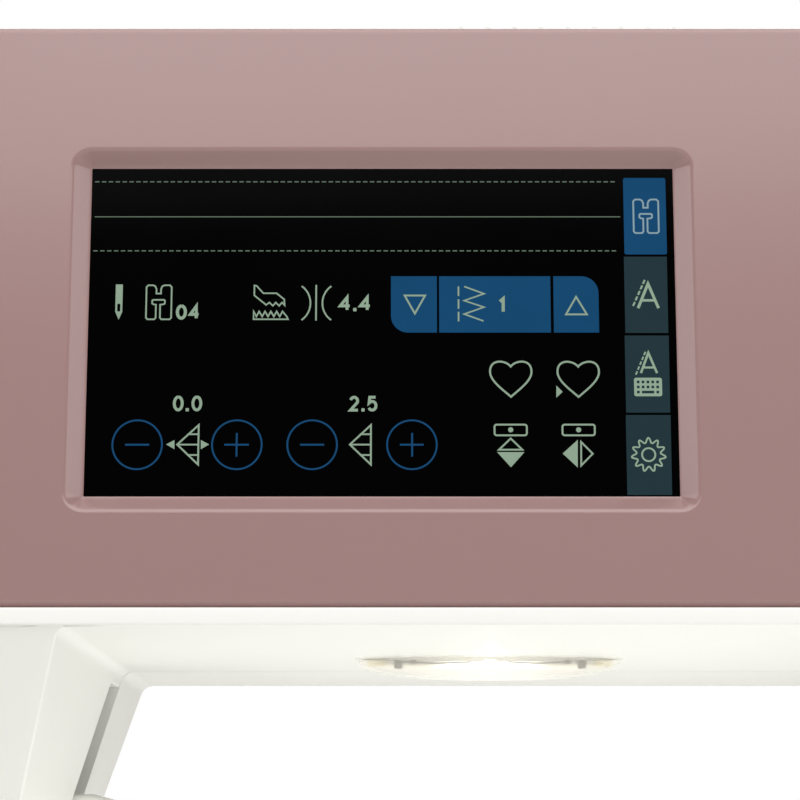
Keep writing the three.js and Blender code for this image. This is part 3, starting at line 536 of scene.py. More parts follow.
# ---------- casing and other CAD nodes ----------
# Material, edge radius, and the nodes that have them.
FINISHES = (
    (WHITE, 0, "rear_shell"),
    (WHITE, 0.4, "front_shell"),
    (WHITE, 0.6, "top_deck"),
    (WHITE, 1.0, "lifter_lever"),
    (WHITE, 1.2, "top_lid"),
    (WHITE, 1.4, "free_arm_cover bed_casing"),
    (WHITE, 1.6, "unit_casing carriage_arm"),
    (BUTTON, 0.8, "speed_slider " + " ".join(KEYS)),
    (GREY, 0.3, "display_module timing_pulley drive_pulley lower_pulley"),
    (GREY, 0.5, "spool_pin"),
    (GREY, 0.7, "hoop_outer_ring"),
    (GREY, 0.8, "hoop_inner_ring hoop_connector spool_cap base_plate unit_base"),
    (PALE_GREY, 0.2, "arm_light_board"),
    (BLACK, 0.1, "control_board"),
    (BLACK, 0.3, "bobbin_case power_inlet"),
    (BLACK, 0.8, "power_switch motor"),
    (RUBBER, 0.2, "timing_belt motor_belt"),
    (RUBBER, 0.8, "rubber_foot_1 rubber_foot_2 rubber_foot_3 rubber_foot_4"),
    (STEEL, 0, "needle"),
    (STEEL, 0.1, "feed_dog"),
    (STEEL, 0.3, "take_up_lever embroidery_foot rotary_hook"),
    (STEEL, 0.4, "needle_clamp presser_bar"),
    (STEEL, 0.5, "needle_bar winder_spindle"),
    (TURNED, 0.1, "lower_shaft"),
    (TURNED, 0.3, "motor_pulley"),
    (TURNED, 0.4, "upper_shaft"),
    (TURNED, 0.5, "x_guide_rod"),
    (PLATE, 0.25, "needle_plate"),
    (CAST, 0.8, "main_frame"),
    (GLASS_BLACK, 0.3, "screen_glass"),
    (SMOKED, 0.3, "bobbin_cover"),
    (CLEAR, 0, "arm_light_lens"),
    (CLEAR, 0.2, "bobbin"),
)


def round_edges(node, bevel):
    dissolve = node.modifiers.new("dissolve", "DECIMATE")
    dissolve.decimate_type = "DISSOLVE"
    dissolve.angle_limit = math.radians(0.5)
    edge = node.modifiers.new("edge", "BEVEL")
    edge.width = bevel * MM
    edge.segments = 2
    edge.limit_method = "ANGLE"
    edge.angle_limit = math.radians(40)
    edge.use_clamp_overlap = False
    edge.harden_normals = True


def finish_node(name, material, bevel):
    """Gives a CAD node its material, rounds its edges, and smooths its curves."""
    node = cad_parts[name]
    node.data.materials.clear()
    node.data.materials.append(material)
    node.data.shade_smooth()
    weld = node.modifiers.new("weld", "WELD")
    weld.merge_threshold = 0.01 * MM
    if bevel:
        round_edges(node, bevel)
    else:
        split = node.modifiers.new("split", "EDGE_SPLIT")
        split.split_angle = math.radians(35)
    normals = node.modifiers.new("normals", "WEIGHTED_NORMAL")
    normals.keep_sharp = False


for look, radius, nodes in FINISHES:
    for node_name in nodes.split():
        finish_node(node_name, look, radius)


# ---------- fascia ----------
PANEL_EDGE = 2.2  # how far back the fascia's sides reach
KEY_GAP = 0.4


def recess_rows():
    """The opening's side: a round lip, a slope, and a small foot at the glass."""
    lip, slope, low = 1.3, math.radians(38), 2.3
    rows = [(lip * math.sin(slope * i / 5), lip * (1 - math.cos(slope * i / 5))) for i in range(6)]
    inset, depth = rows[-1]
    for i in range(1, 5):
        share = i / 4
        rows.append((inset + (RECESS_RUN - 0.25 - inset) * share, depth + (low - depth) * share))
    rows.append((RECESS_RUN, low + 0.1))
    return rows


def recess(t):
    """The opening round the screen, at t in from its rim."""
    run = RECESS_RUN - t
    rise = RECESS_RISE - t * RECESS_RISE / RECESS_RUN
    corner = max(RECESS_CORNER - t * 1.02, 0.12)
    right, bottom = SCREEN_LEFT + SCREEN_WIDTH, SCREEN_TOP - SCREEN_HEIGHT
    return rounded(SCREEN_LEFT - run, right + run, bottom - rise, SCREEN_TOP + rise, corner, 8)


def hole(x0, x1, z0, z1, r, steps):
    """An outline that widens by t."""
    return lambda t: rounded(x0 - t, x1 + t, z0 - t, z1 + t, r + t, steps)


def panel_rim(t):
    low, high = PANEL_LOW, PANEL_HIGH
    return rounded(low.x + t, high.x - t, low.z + t, high.z - t, max(2.4 - t, 0.9), 6)


def key_hole(name):
    low, high = span(name)
    r = 9.5 if name == ROUND_KEY else 3.2
    return hole(low.x - KEY_GAP, high.x + KEY_GAP, low.z - KEY_GAP, high.z + KEY_GAP, r, 10)


def fascia():
    made = Build()

    def at(loop, depth):
        return [(x, FACE + depth, z) for x, z in loop]

    def rolled(outline, lip, steps=4):
        """Rounds the face's edge along an outline, and returns where the flat face ends."""
        made.strip([at(outline(t), d) for t, d in quarter_rows(lip, steps)] + [at(outline(0), PANEL_EDGE)])
        return outline(lip)

    made.strip([at(recess(t), depth) for t, depth in recess_rows()])
    holes = [recess(0)] + [rolled(key_hole(name), 0.5) for name in KEYS]
    holes.append(rolled(hole(*SPEED_SLOT, 0.8, 5), 0.4))
    points, triangles = flat_fill(rolled(panel_rim, 1.2, 6), *holes)
    made.add(at(points, 0), triangles)
    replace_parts(made.piece("fascia", ROSE, slot="rose_panel", angle=60), "front_panel")


fascia()


# ---------- what the screen shows ----------
DIGIT_GAP = 0.33


class Sketch:
    """Flat shapes on a plane; on the screen, x runs right and y down from its top left corner."""

    def __init__(self, name, material, at, body="machine"):
        self.name, self.material, self.at, self.body = name, material, at, body
        self.made = Build()

    def fill(self, points, *holes):
        flat, faces = flat_fill(points, *holes)
        self.made.add([self.at(x, y) for x, y in flat], faces)

    def loop(self, points, width):
        self.line(points, width, closed=True)

    def line(self, points, width, closed=False):
        """A mitred line of even width."""
        count = len(points)
        sides = []
        for i, p in enumerate(points):
            here = Vector(p)
            before = here - Vector(points[i - 1]) if closed or i else None
            after = Vector(points[(i + 1) % count]) - here if closed or i < count - 1 else None
            before, after = (before or after).normalized(), (after or before).normalized()
            normal = Vector((-before.y, before.x)) + Vector((-after.y, after.x))
            normal.normalize()
            reach = width / 2 / max(normal.dot(Vector((-before.y, before.x))), 0.35)
            sides.append((here + normal * reach, here - normal * reach))
        steps = count if closed else count - 1
        faces = []
        for i in range(steps):
            j = (i + 1) % count
            faces.append([2 * i, 2 * j, 2 * j + 1, 2 * i + 1])
        self.made.add([self.at(*p) for pair in sides for p in pair], faces)

    def dashes(self, start, end, dash=0.72, gap=0.41, width=0.2):
        a, b = Vector(start), Vector(end)
        along = (b - a).normalized()
        for i in range(int((b - a).length / (dash + gap) + 0.6)):
            first = a + along * i * (dash + gap)
            self.line([first, first + along * dash], width)

    def ring(self, x, y, r, width, sides=48):
        self.loop(circle(x, y, r, sides), width)

    def digits(self, number, x, y, height, width, stroke):
        """Digits whose foot is at y, from x to the right."""
        dot = stroke * 1.15
        left, low = x, y - stroke / 2
        inner_w, inner_h = width - stroke, height - stroke
        for digit in number:
            if digit == ".":
                self.fill(rounded(left, left + dot, y - dot, y, 0.08, 2))
                left += dot + 0.4
                continue
            for path in STROKES[digit]:
                points = [(left + stroke / 2 + px * inner_w, low - (1 - py) * inner_h) for px, py in path]
                self.line(points, stroke)
            left += width + DIGIT_GAP

    def finish(self):
        self.made.piece(self.name, self.material, body=self.body, angle=180, weighted=False)


def arc(cx, cy, rx, ry, start, end, steps=10):
    """Points round an oval, in degrees, with y downwards."""
    turn = [math.radians(start + (end - start) * i / steps) for i in range(steps + 1)]
    return [(cx + rx * math.cos(a), cy + ry * math.sin(a)) for a in turn]


# Digits in a unit square, x to the right and y down, as the centre lines of their strokes.
STROKES = {
    "0": [arc(0.5, 0.5, 0.5, 0.5, -90, 270, 24)],
    "1": [[(0.12, 0.22), (0.55, 0.0), (0.55, 1.0)]],
    "2": [arc(0.5, 0.29, 0.46, 0.29, -165, 25, 12) + [(0.03, 1.0), (1.0, 1.0)]],
    "4": [[(0.72, 1.0), (0.72, 0.0), (0.0, 0.68), (1.0, 0.68)]],
    "5": [[(0.92, 0.0), (0.16, 0.0), (0.08, 0.44)] + arc(0.48, 0.66, 0.5, 0.34, -130, 150, 14)],
}


def moved(points, x, y):
    return [(x + px, y + py) for px, py in points]


def screen_at(proud):
    return lambda x, y: (SCREEN_LEFT + x, GLASS - proud, SCREEN_TOP - y)


def heart(x, y):
    """A heart whose notch is at x, y."""
    right = bezier((0, 0), (0.75, -1.05), (3.36, -1.4), (3.36, 0.85))
    right += bezier((3.36, 0.85), (3.36, 2.4), (1.2, 3.9), (0, 5.0))
    return moved(right + [(0, 5.0)] + [(-px, py) for px, py in reversed(right[1:])], x, y)


def gear(x, y):
    teeth, steps = 11, 132
    points = []
    for i in range(steps):
        a = 2 * math.pi * i / steps
        r = 1.95 + 0.8 * ((1 + math.cos(teeth * a)) / 2) ** 1.4
        points.append((x + r * math.sin(a), y - r * math.cos(a)))
    return points


FOOT_ICON = [
    (0.05, 0.3), (0.35, 0), (1.15, 0), (1.5, 0.2), (1.68, 0.65), (1.68, 1.4), (2.42, 1.4), (2.42, 0.65),
    (2.6, 0.2), (2.95, 0), (3.85, 0), (4.15, 0.3), (4.15, 5.45), (3.9, 5.7), (2.55, 5.7), (2.32, 5.45),
    (2.32, 3.25), (2.85, 3.2), (3.08, 3.05), (3.08, 2.6), (2.95, 2.45), (1.15, 2.45), (1.02, 2.6),
    (1.02, 3.05), (1.25, 3.2), (1.63, 3.25), (1.63, 5.45), (1.4, 5.7), (0.3, 5.7), (0.05, 5.45),
]


def stitch_values(ink):
    """Needle, foot, foot pressure and thread tension, with generic values."""
    needle = [(4.35, 19.63), (5.49, 19.63), (5.49, 24.2), (4.94, 25.53), (4.35, 24.2)]
    ink.fill(needle, rounded(4.66, 5.16, 22.84, 24.17, 0.2, 4))
    ink.loop(moved(FOOT_ICON, 9.31, 19.76), 0.25)
    ink.digits("04", 14.21, 25.53, 2.55, 1.8, 0.5)
    foot = [
        (26.93, 19.8), (27.28, 19.85), (28.4, 21.1), (30.54, 21.1), (31.8, 22.12), (31.88, 23.1),
        (31.46, 22.65), (31.0, 23.2), (30.43, 22.65), (29.99, 23.2), (29.39, 22.65), (28.87, 23.05),
        (26.93, 21.45),
    ]
    ink.loop(foot, 0.24)
    teeth = [(26.85, 25.45), (26.85, 24.1)]
    for i in range(5):
        teeth += [(27.3 + 0.95 * i, 25.0), (27.75 + 0.95 * i, 24.15)]
    ink.loop(teeth + [(32.25, 25.0), (32.45, 25.45)], 0.24)
    for centre, side in ((33.0, 1), (41.1, -1)):
        ink.line(arc(centre, 22.75, side * 3.08, 3.35, -57.8, 57.76, 12), 0.26)
    ink.line([(37.0, 19.71), (37.0, 25.67)], 0.26)
    ink.digits("4.4", 40.7, 24.12, 2.56, 2.0, 0.48)


def chosen_stitch(ink):
    for y in (19.97, 22.11, 24.21):
        ink.line([(60.17, y), (60.17, y + 1.59)], 0.27)
    zigzag = [(61.11, 19.97), (64.33, 21.18), (61.1, 22.34), (64.31, 23.43), (61.08, 24.59), (64.21, 25.74)]
    ink.line(zigzag, 0.25)
    ink.digits("1", 66.5, 24.44, 2.68, 1.75, 0.52)
    ink.loop([(51.4, 21.48), (54.73, 21.48), (53.07, 24.5)], 0.3)
    ink.loop([(77.63, 24.64), (81.03, 24.64), (79.31, 21.7)], 0.3)
    ink.loop(heart(68.56, 33.31), 0.31)
    ink.loop(heart(79.47, 33.33), 0.31)
    ink.fill([(75.9, 36.44), (76.91, 37.48), (75.87, 38.45)])


def width_and_length(ink):
    ink.digits("0.0", 14.02, 40.7, 2.6, 1.74, 0.46)
    ink.digits("2.5", 42.41, 40.73, 2.58, 1.68, 0.46)
    for tip, base in ((14.59, 18.35), (42.34, 46.07)):
        ink.loop([(tip + 0.25, 46.14), (base - 0.1, 42.95), (base - 0.1, 49.4)], 0.28)
        for y, start in ((44.45, 0.5), (46.15, 0.08), (47.85, 0.5)):
            ink.line([(tip + (base - tip) * start, y), (base - 0.15, y)], 0.26)
    ink.fill([(13.07, 46.11), (14.39, 45.4), (14.42, 46.9)])
    ink.fill([(19.97, 46.11), (18.63, 45.4), (18.66, 46.9)])


def mirror_keys(ink):
    for x in (68.46, 79.39):
        ink.loop(rounded(x - 2.6, x + 2.6, 42.88, 44.63, 0.35, 3), 0.29)
        ink.fill(circle(x, 43.73, 0.42, 14))
    ink.loop([(68.45, 45.15), (66.55, 46.98), (70.3, 46.98)], 0.28)
    ink.fill([(66.24, 47.37), (70.64, 47.37), (68.45, 49.84)])
    ink.fill([(76.77, 47.6), (79.23, 45.36), (79.16, 49.89)])
    ink.loop([(79.75, 45.7), (79.72, 49.55), (81.6, 47.63)], 0.28)


def tab_marks():
    tabs = Sketch("screen_tab_icons", TAB_INK, screen_at(0.12))
    tabs.line([(89.37, 23.6), (91.06, 19.5), (92.7, 23.6)], 0.46)
    tabs.line([(89.95, 22.29), (92.1, 22.29)], 0.4)
    tabs.dashes((90.55, 18.86), (88.55, 23.25), 0.72, 0.3, 0.3)
    tabs.line([(89.6, 34.4), (90.87, 31.05), (92.22, 34.4)], 0.38)
    tabs.line([(90.0, 33.47), (91.75, 33.47)], 0.34)
    tabs.dashes((90.41, 30.87), (88.86, 34.47), 0.6, 0.28, 0.26)
    cells = [(89.13 + 0.785 * k, y, 0.22) for y in (35.86, 36.69) for k in range(5)]
    cells += [(89.13, 37.53, 0.22), (90.7, 37.53, 1.0), (92.27, 37.53, 0.22)]
    windows = [rounded(x - w, x + w, y - 0.22, y + 0.22, 0.06, 2) for x, y, w in cells]
    tabs.fill(rounded(88.46, 92.98, 35.16, 38.22, 0.35, 4), *windows)
    tabs.loop(gear(90.58, 47.79), 0.27)
    tabs.ring(90.58, 47.79, 1.06, 0.29)
    tabs.finish()
    foot = Sketch("screen_foot_icon", FOOT_INK, screen_at(0.12))
    foot.loop(moved(FOOT_ICON, 88.88, 5.25), 0.28)
    foot.finish()


def screen_fields():
    """The coloured keys and tabs behind the marks."""
    top, low = 18.23, 27.66
    blue = Sketch("screen_blue_keys", KEY_BLUE, screen_at(0.05))
    blue.fill([(56.65, low), (56.65, top), (49.18, top)] + arc(51.98, 24.86, 2.8, 2.8, 180, 90))
    blue.fill([(57.02, top), (75.15, top), (75.15, low), (57.02, low)])
    blue.fill([(75.64, low), (75.64, top)] + arc(80.18, 21.03, 2.8, 2.8, -90, 0) + [(82.98, low)])
    blue.fill(rounded(87.34, 94.29, 1.55, 14.56, 0.3, 3))
    blue.finish()
    teal = Sketch("screen_teal_tabs", TAB_TEAL, screen_at(0.05))
    for left, top, bottom in ((87.23, 14.93, 27.72), (87.1, 28.15, 40.9), (87.03, 41.29, 54.33)):
        teal.fill([(left, top), (94.25, top), (94.2, bottom), (left, bottom)])
    teal.finish()


def screen_marks():
    faint = Sketch("screen_guide_lines", FAINT_INK, screen_at(0.1))
    for y in (2.22, 13.96):
        faint.dashes((0.5, y), (86.8, y))
    faint.line([(0.6, 8.19), (86.75, 8.19)], 0.17)
    faint.finish()
    ink = Sketch("screen_icons", INK, screen_at(0.12))
    stitch_values(ink)
    chosen_stitch(ink)
    width_and_length(ink)
    mirror_keys(ink)
    ink.finish()
    tab_marks()
    rings = Sketch("screen_circles", RING_BLUE, screen_at(0.1))
    middle_line = 46.16
    buttons = ((8.41, 6.47, 10.34), (24.43, 22.41, 26.36), (36.53, 34.59, 38.46), (52.57, 50.64, 54.44))
    for x, left, right in buttons:
        rings.ring(x, middle_line, 3.99, 0.28, 72)
        rings.line([(left, middle_line), (right, middle_line)], 0.3)
    for x in (24.4, 52.6):
        rings.line([(x, 44.25), (x, 46.01)], 0.3)
        rings.line([(x, 46.31), (x, 48.1)], 0.3)
    rings.finish()
    screen_fields()


screen_marks()


# ---------- light under the arm ----------
LENS = middle("arm_light_lens")
LENS_HALF_X = (LENS_HIGH.x - LENS_LOW.x) / 2
LENS_HALF_Y = (LENS_HIGH.y - LENS_LOW.y) / 2
LENS_TOP = ARM_UNDER - 0.3
AROUND = [2 * math.pi * i / 96 for i in range(96)]


def boat_row(share):
    """The boat's outline, at share of its way from rim to keel."""
    tight = math.sqrt(1 - share * share)
    drop = ARM_UNDER - LENS_LOW.z - 0.3
    points = []
    for a in AROUND:
        x = math.copysign(abs(math.cos(a) * tight) ** 0.7, math.cos(a))
        y = LENS.y + LENS_HALF_Y * 0.985 * math.sin(a) * tight
        points.append((LENS.x + LENS_HALF_X * 0.992 * x, y, LENS_TOP - drop * share))
    return points


def light_lens():
    bowl = Build()
    rows = [boat_row(share) for share in (0, 0.1, 0.22, 0.36, 0.5, 0.64, 0.77, 0.88, 0.95, 0.985)]
    bowl.strip(rows)
    bowl.cap(rows[-1])
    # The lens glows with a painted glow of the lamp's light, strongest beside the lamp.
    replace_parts(bowl.piece("light_lens", LENS_PAINTED_GLOW, slot="clear_plastic", angle=80), "arm_light_lens")
    rim = Build()
    loops = []
    for past, z in ((0.5, 0.05), (0.45, -0.12), (-0.5, -0.2), (-0.8, 0.0)):
        oval = arc(LENS.x, LENS.y, LENS_HALF_X + past, LENS_HALF_Y + past, 0, 360, 96)[:-1]
        loops.append([(x, y, ARM_UNDER + z) for x, y in oval])
    rim.strip(loops)
    rim.piece("light_rim", WHITE)


def lens_contents():
    """The lamp, light guide with a painted glow, clips, amber tips and wires seen through the lens."""
    end = LENS_HALF_X - 3.4
    guide = [(0.2, -end), (0.5, 0.5 - end), (0.62, -12), (0.62, 12), (0.5, end - 0.5), (0.2, end)]
    # The guide's emission is a painted glow of the lamp's light, not a lamp of its own.
    turned_piece("light_guide_painted_glow", GUIDE_PAINTED_GLOW, guide, (LENS.x, LENS.y - 1.5, LENS_TOP - 0.85), "x", 16, angle=80)
    lamp = [(0.7, 0.0), (1.25, -0.25), (1.4, -0.7), (1.1, -1.4), (0.5, -1.8)]
    turned_piece("light_lamp", LED, lamp, (LENS.x, LENS.y - 1.5, LENS_TOP), "z", 32, angle=80)
    clips = ((-16.6, 0.75, 1.5), (-13.9, 0.6, 0.8), (14.1, 0.6, 0.8), (16.8, 0.75, 1.5))
    tips = ((-20.6, 1.6, 1.2), (20.6, 1.6, 1.2))
    for name, material, parts in (("light_clips", BLACK, clips), ("light_amber_tips", AMBER, tips)):
        made = Build()
        for x, half, deep in parts:
            corners = (LENS.x + x - half, LENS.x + x + half, LENS.y - 2.6, LENS.y - 0.4)
            block(made, corners, 0.3, 0.1 - LENS_TOP, deep - LENS_TOP, "down", 0.2, 3)
        made.piece(name, material)
    wires = Build()
    for start, stop in ((-16, -3.4), (3.4, 14)):
        path = ((start, -3.2, -0.5), ((start + stop) / 2, -3.4, -0.75), (stop, -3.2, -0.5))
        sweep(wires, [(LENS.x + x, LENS.y + y, LENS_TOP + z) for x, y, z in path], 0.12, 8)
    wires.piece("light_wires", BLACK)


light_lens()
lens_contents()


# ---------- controls ----------
def key_sketch(key):
    """For marks on a key's front, right of and above its middle."""
    node = key + "_button"
    centre = middle(node)
    front = span(node)[0].y - 0.06
    return Sketch(key + "_mark", PRINT, lambda x, y: (centre.x + x, front, centre.z + y), KEYS[node])


def arrow_head(x, y, size, turn):
    points = [(size, 0), (-size * 0.7, size * 0.8), (-size * 0.7, -size * 0.8)]
    c, s = math.cos(math.radians(turn)), math.sin(math.radians(turn))
    return [(x + px * c - py * s, y + px * s + py * c) for px, py in points]


def key_marks():
    back = key_sketch("reverse")
    back.line([(-2.6, -1.8), (1.0, -1.8)] + arc(1.0, 0, 1.8, 1.8, -80, 80) + [(1.0, 1.8), (-1.6, 1.8)], 0.5)
    back.fill(arrow_head(-2.4, 1.8, 1.1, 180))
    back.finish()
    needle = key_sketch("needle_position")
    needle.fill([(-0.5, 3.2), (0.5, 3.2), (0.5, -2.0), (0, -3.4), (-0.5, -2.0)], circle(0, -1.4, 0.22, 12))
    needle.fill(arrow_head(3.0, 1.2, 1.0, 90))
    needle.fill(arrow_head(3.0, -1.2, 1.0, -90))
    needle.finish()
    cutter = key_sketch("thread_cutter")
    for side in (-1, 1):
        cutter.ring(-2.6, 1.7 * side, 1.0, 0.4, 28)
        cutter.line([(-1.8, 1.1 * side), (3.0, -1.5 * side)], 0.45)
    cutter.finish()
    foot = key_sketch("foot_lift")
    foot.line([(-3.2, -2.6), (1.6, -2.6), (0.6, -1.4), (-0.8, -1.4), (-0.8, 2.4)], 0.5)
    foot.line([(3.2, -2.0), (3.2, 1.2)], 0.45)
    foot.fill(arrow_head(3.2, 1.8, 1.1, 90))
    foot.finish()
    start = key_sketch("start_stop")
    start.ring(0, 0, 6.9, 0.35, 72)
    start.fill([(-3.6, -2.6), (0.2, 0), (-3.6, 2.6)])
    for x in (1.6, 3.4):
        start.fill([(x - 0.5, -2.4), (x + 0.5, -2.4), (x + 0.5, 2.4), (x - 0.5, 2.4)])
    start.finish()


def key_collar(node, body):
    """The raised dish edge on a key, which a finger finds."""
    low, high = span(node)
    r = 9.3 if node == ROUND_KEY else 2.8
    loops = []
    for t, depth in ((0.3, 0.1), (0.5, -0.2), (1.0, -0.25), (1.3, 0.0), (1.3, 0.15)):
        ring = rounded(low.x + t, high.x - t, low.z + t, high.z - t, max(r - t, 0.3), 10)
        loops.append([(x, low.y + depth, z) for x, z in ring])
    made = Build()
    made.strip(loops)
    made.piece(node.replace("button", "collar"), BUTTON, body=body, angle=60)


def key_collars():
    for node, body in KEYS.items():
        key_collar(node, body)


def speed_details():
    low, high = span("speed_slider")
    ridges = [(x - 0.35, x + 0.35, low.z + 1.6, high.z - 1.6) for x in evenly(low.x + 1.75, 1.3, 6)]
    blocks("speed_slider_ridges", BUTTON, ridges, 0.3, -low.y - 0.1, -low.y + 0.45, "front", 0.25, 4,
           body="speed_knob", angle=60)
    wedge = Sketch("speed_scale", ROSE_PRINT, plane("front", 0.04 - FACE))
    wedge.fill([(-44.5, 191.4), (-14.5, 191.4), (-14.5, 194.0)])
    wedge.finish()
    ticks = Sketch("speed_scale_ticks", ROSE_PRINT, plane("front", 0.04 - FACE))
    for x in evenly(-42.5, 26 / 6, 7):
        ticks.line([(x, 189.2), (x, 190.4)], 0.35)
    ticks.finish()


def status_lamp():
    x, z = STATUS_LAMP
    lamp = Build()
    raised(lamp, lambda t: circle(x, z, 1.3 - t, 24), -FACE - 0.1, -FACE + 0.35, "front", 0.3)
    lamp.piece("status_lamp", STATUS)
    rim = [(1.35, 0.1), (1.5, -0.2), (1.8, -0.2), (2.0, 0.1)]
    turned_piece("status_lamp_rim", GREY, rim, (x, FACE, z), "y", 32)


# ---------- handwheel, and the sockets on the right ----------
def handwheel():
    low = span("handwheel")[0].x
    centre = middle("handwheel")
    profile = [
        (6.5, 0), (24, 0), (26.8, 0.3), (28.6, 1.5), (29.5, 3.2), (29.9, 4.2, 0.2), (29.9, 5.0, 0.9),
        (29.9, 14.2, 0.9), (29.9, 15.0, 0.2), (29.6, 16.4), (28.4, 18.6), (26.4, 20.4), (23.6, 21.5),
        (20.6, 21.9), (18.8, 21.3), (17.2, 19.4), (15.9, 17.7), (13.8, 17.1), (11.6, 17.3), (10.3, 18.6),
        (9.6, 20.6), (8.8, 21.6), (6.4, 21.8),
    ]
    spot = (low, centre.y, centre.z)
    more = {"body": "upper_drive", "angle": 50}
    wheel = turned_piece("handwheel_body", WHITE, profile, spot, "x", 288, 48, slot="white_shell", **more)
    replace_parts(wheel, "handwheel")
    hub = [(8.0, 21.2), (7.8, 21.85), (5.0, 21.95), (0.6, 21.97)]
    turned_piece("handwheel_hub", ROSE, hub, spot, "x", 64, **more)
    seat = [(15.5, 0.05), (15.2, 1.2), (12.0, 2.0), (9.6, 2.2), (9.4, 0.05)]
    turned_piece("handwheel_seat", PALE_GREY, seat, (COLUMN_RIGHT, centre.y, centre.z), "x", 72)


def data_port():
    wall = COLUMN_RIGHT
    band("port_shell", STEEL, (-30.6, -17.4, 165.0, 171.0), 0.6, 0.35, wall - 6, wall - 0.6, "right")
    pad("port_tongue", BLACK, (-29.4, -18.6, 168.3, 170.0), 0.2, wall - 6, wall - 1.4, "right")
    pad("port_floor", BLACK, (-31, -17, 164.6, 171.4), 0.3, wall - 6.6, wall - 5.6, "right")
    contacts = Build()
    for y in evenly(-27.9, 2.6, 4):

        def outline(t, y=y):
            return rounded(y - 0.6 + t, y + 0.6 - t, 167.9, 168.25, 0.05, 2)

        raised(contacts, outline, wall - 5, wall - 1.8, "right", 0.05)
    contacts.piece("port_contacts", BRASS)
    mark = Sketch("port_mark", PRINT, plane("right", wall + 0.05))
    mark.loop(rounded(-27.4, -20.6, 176, 179.2, 0.5, 4), 0.35)
    mark.line([(-25.6, 177.6), (-22.4, 177.6)], 0.35)
    mark.finish()


def power_corner():
    wall, level = RIGHT_WALL, 46
    band("inlet_frame", BLACK, (-26.2, 2.2, 34.8, 57.2), 2.4, 2.0, wall - 0.1, wall + 0.9, "right")
    band("switch_frame", BLACK, (12.4, 31.6, 36.9, 55.1), 1.6, 1.6, wall - 0.1, wall + 0.7, "right")
    pins = Build()
    for y in (-16.5, -7.5):
        turned(pins, [(1.3, 0), (1.3, 7.6), (1.0, 8.2), (0.2, 8.4)], (wall - 12, y, level), "x", 20)
    pins.piece("inlet_pins", BRASS)
    mark = Sketch("switch_marks", PALE_GREY, plane("right", span("power_switch")[1].x + 0.05), "switch")
    mark.ring(25.6, level, 1.5, 0.4, 32)
    mark.line([(18.2, 44.4), (18.2, 47.6)], 0.45)
    mark.finish()
    jack = [(5.6, -0.1), (5.5, 0.5), (5.0, 0.8), (3.5, 0.8), (3.1, 0.5), (2.9, 0.05), (2.6, 0.05)]
    turned_piece("foot_control_socket", BLACK, jack, (wall, -44, level), "x", 48)
    contact = [(2.7, 0.02), (2.6, 0.1), (1.1, 0.12), (0.9, 0.5), (0.2, 0.6)]
    turned_piece("foot_control_contact", BRASS, contact, (wall, -44, level), "x", 32)


# ---------- back and underside ----------
WELLS = [(-84, 262), (-80, 156), (70, 262), (268, 262), (182, 86), (268, 86)]
SCREWS_BELOW = [
    (-60, -34, 8), (-60, 34, 8), (80, -34, 8), (150, -66, 8), (150, 58, 8), (230, -66, 8), (230, 58, 8),
    (-290, -90, 4), (-290, 90, 4), (-205, -140, 4), (-205, 140, 4), (-125, -90, 4), (-125, 90, 4), (0, 72, 4),
]


def case_screws():
    tubes, screws = Build(), Build()
    tube = [(3.95, -0.35), (3.75, -0.15), (3.5, -0.5), (3.4, -7.5), (3.9, -7.7)]
    for x, z in WELLS:
        turned(tubes, tube, (x, BACK, z), "y", 36, hollow=True)
        screw(screws, x, z, BACK - 7.4, 3.3, "back", 1.8)
    tubes.piece("case_screw_tubes", WHITE)
    screws.piece("case_screws", STEEL)


def back_side():
    case_screws()
    bars = [(193, 258, z, z + 1.3) for z in evenly(110.5, 3.35, 13)]
    blocks("vent_grille", GREY, bars, 0.2, BACK - 5.2, BACK - 3.4, "back", 0.2, 2)
    pad("vent_screen", BLACK, (193, 258, 109.5, 152.5), 1.5, BACK - 6.6, BACK - 5.6, "back")
    band("rating_plate_edge", PALE_GREY, (40, 118, 210, 236), 2, 0.9, BACK - 0.1, BACK + 0.25, "back")
    left = span("rear_shell")[0].x + 14
    ribs = [(left, 160, z, z + 1.2) for z in (186, 190)]
    blocks("back_ribs", WHITE, ribs, 0.5, BACK - 0.1, BACK + 0.35, "back", 0.3, 4, angle=60)


def underside():
    screws, cups, ribs = Build(), Build(), Build()
    cup = [(3.4, 0.05), (3.5, -0.5), (4.4, -0.5), (4.8, 0.05)]
    for x, y, z in SCREWS_BELOW:
        screw(screws, x, y, -z - 0.1, 3.1, "down", 1.3)
        turned(cups, cup, (x, y, z), "z", 32, hollow=True)
    for y in evenly(-48, 12, 9):
        block(ribs, (115, 262, y, y + 3), 1.2, -8.1, -7.2, "down", 0.3, 4)
        block(ribs, (-285, -130, y, y + 3), 1.2, -4.1, -3.2, "down", 0.3, 4)
    screws.piece("base_screws", STEEL)
    cups.piece("base_screw_cups", GREY)
    ribs.piece("base_ribs", GREY, angle=60)


# ---------- lid, deck and thread stand ----------
def lid_at(x, t, proud=0):
    """A point on the lid's slope, at t of its way from front to crown."""
    start, bend, end = (-59.3, 279.6), (-22, 292.5), (12, 295.5)
    y, z = ((1 - t) ** 2 * a + 2 * t * (1 - t) * b + t * t * c for a, b, c in zip(start, bend, end))
    return (x, y, z + proud)


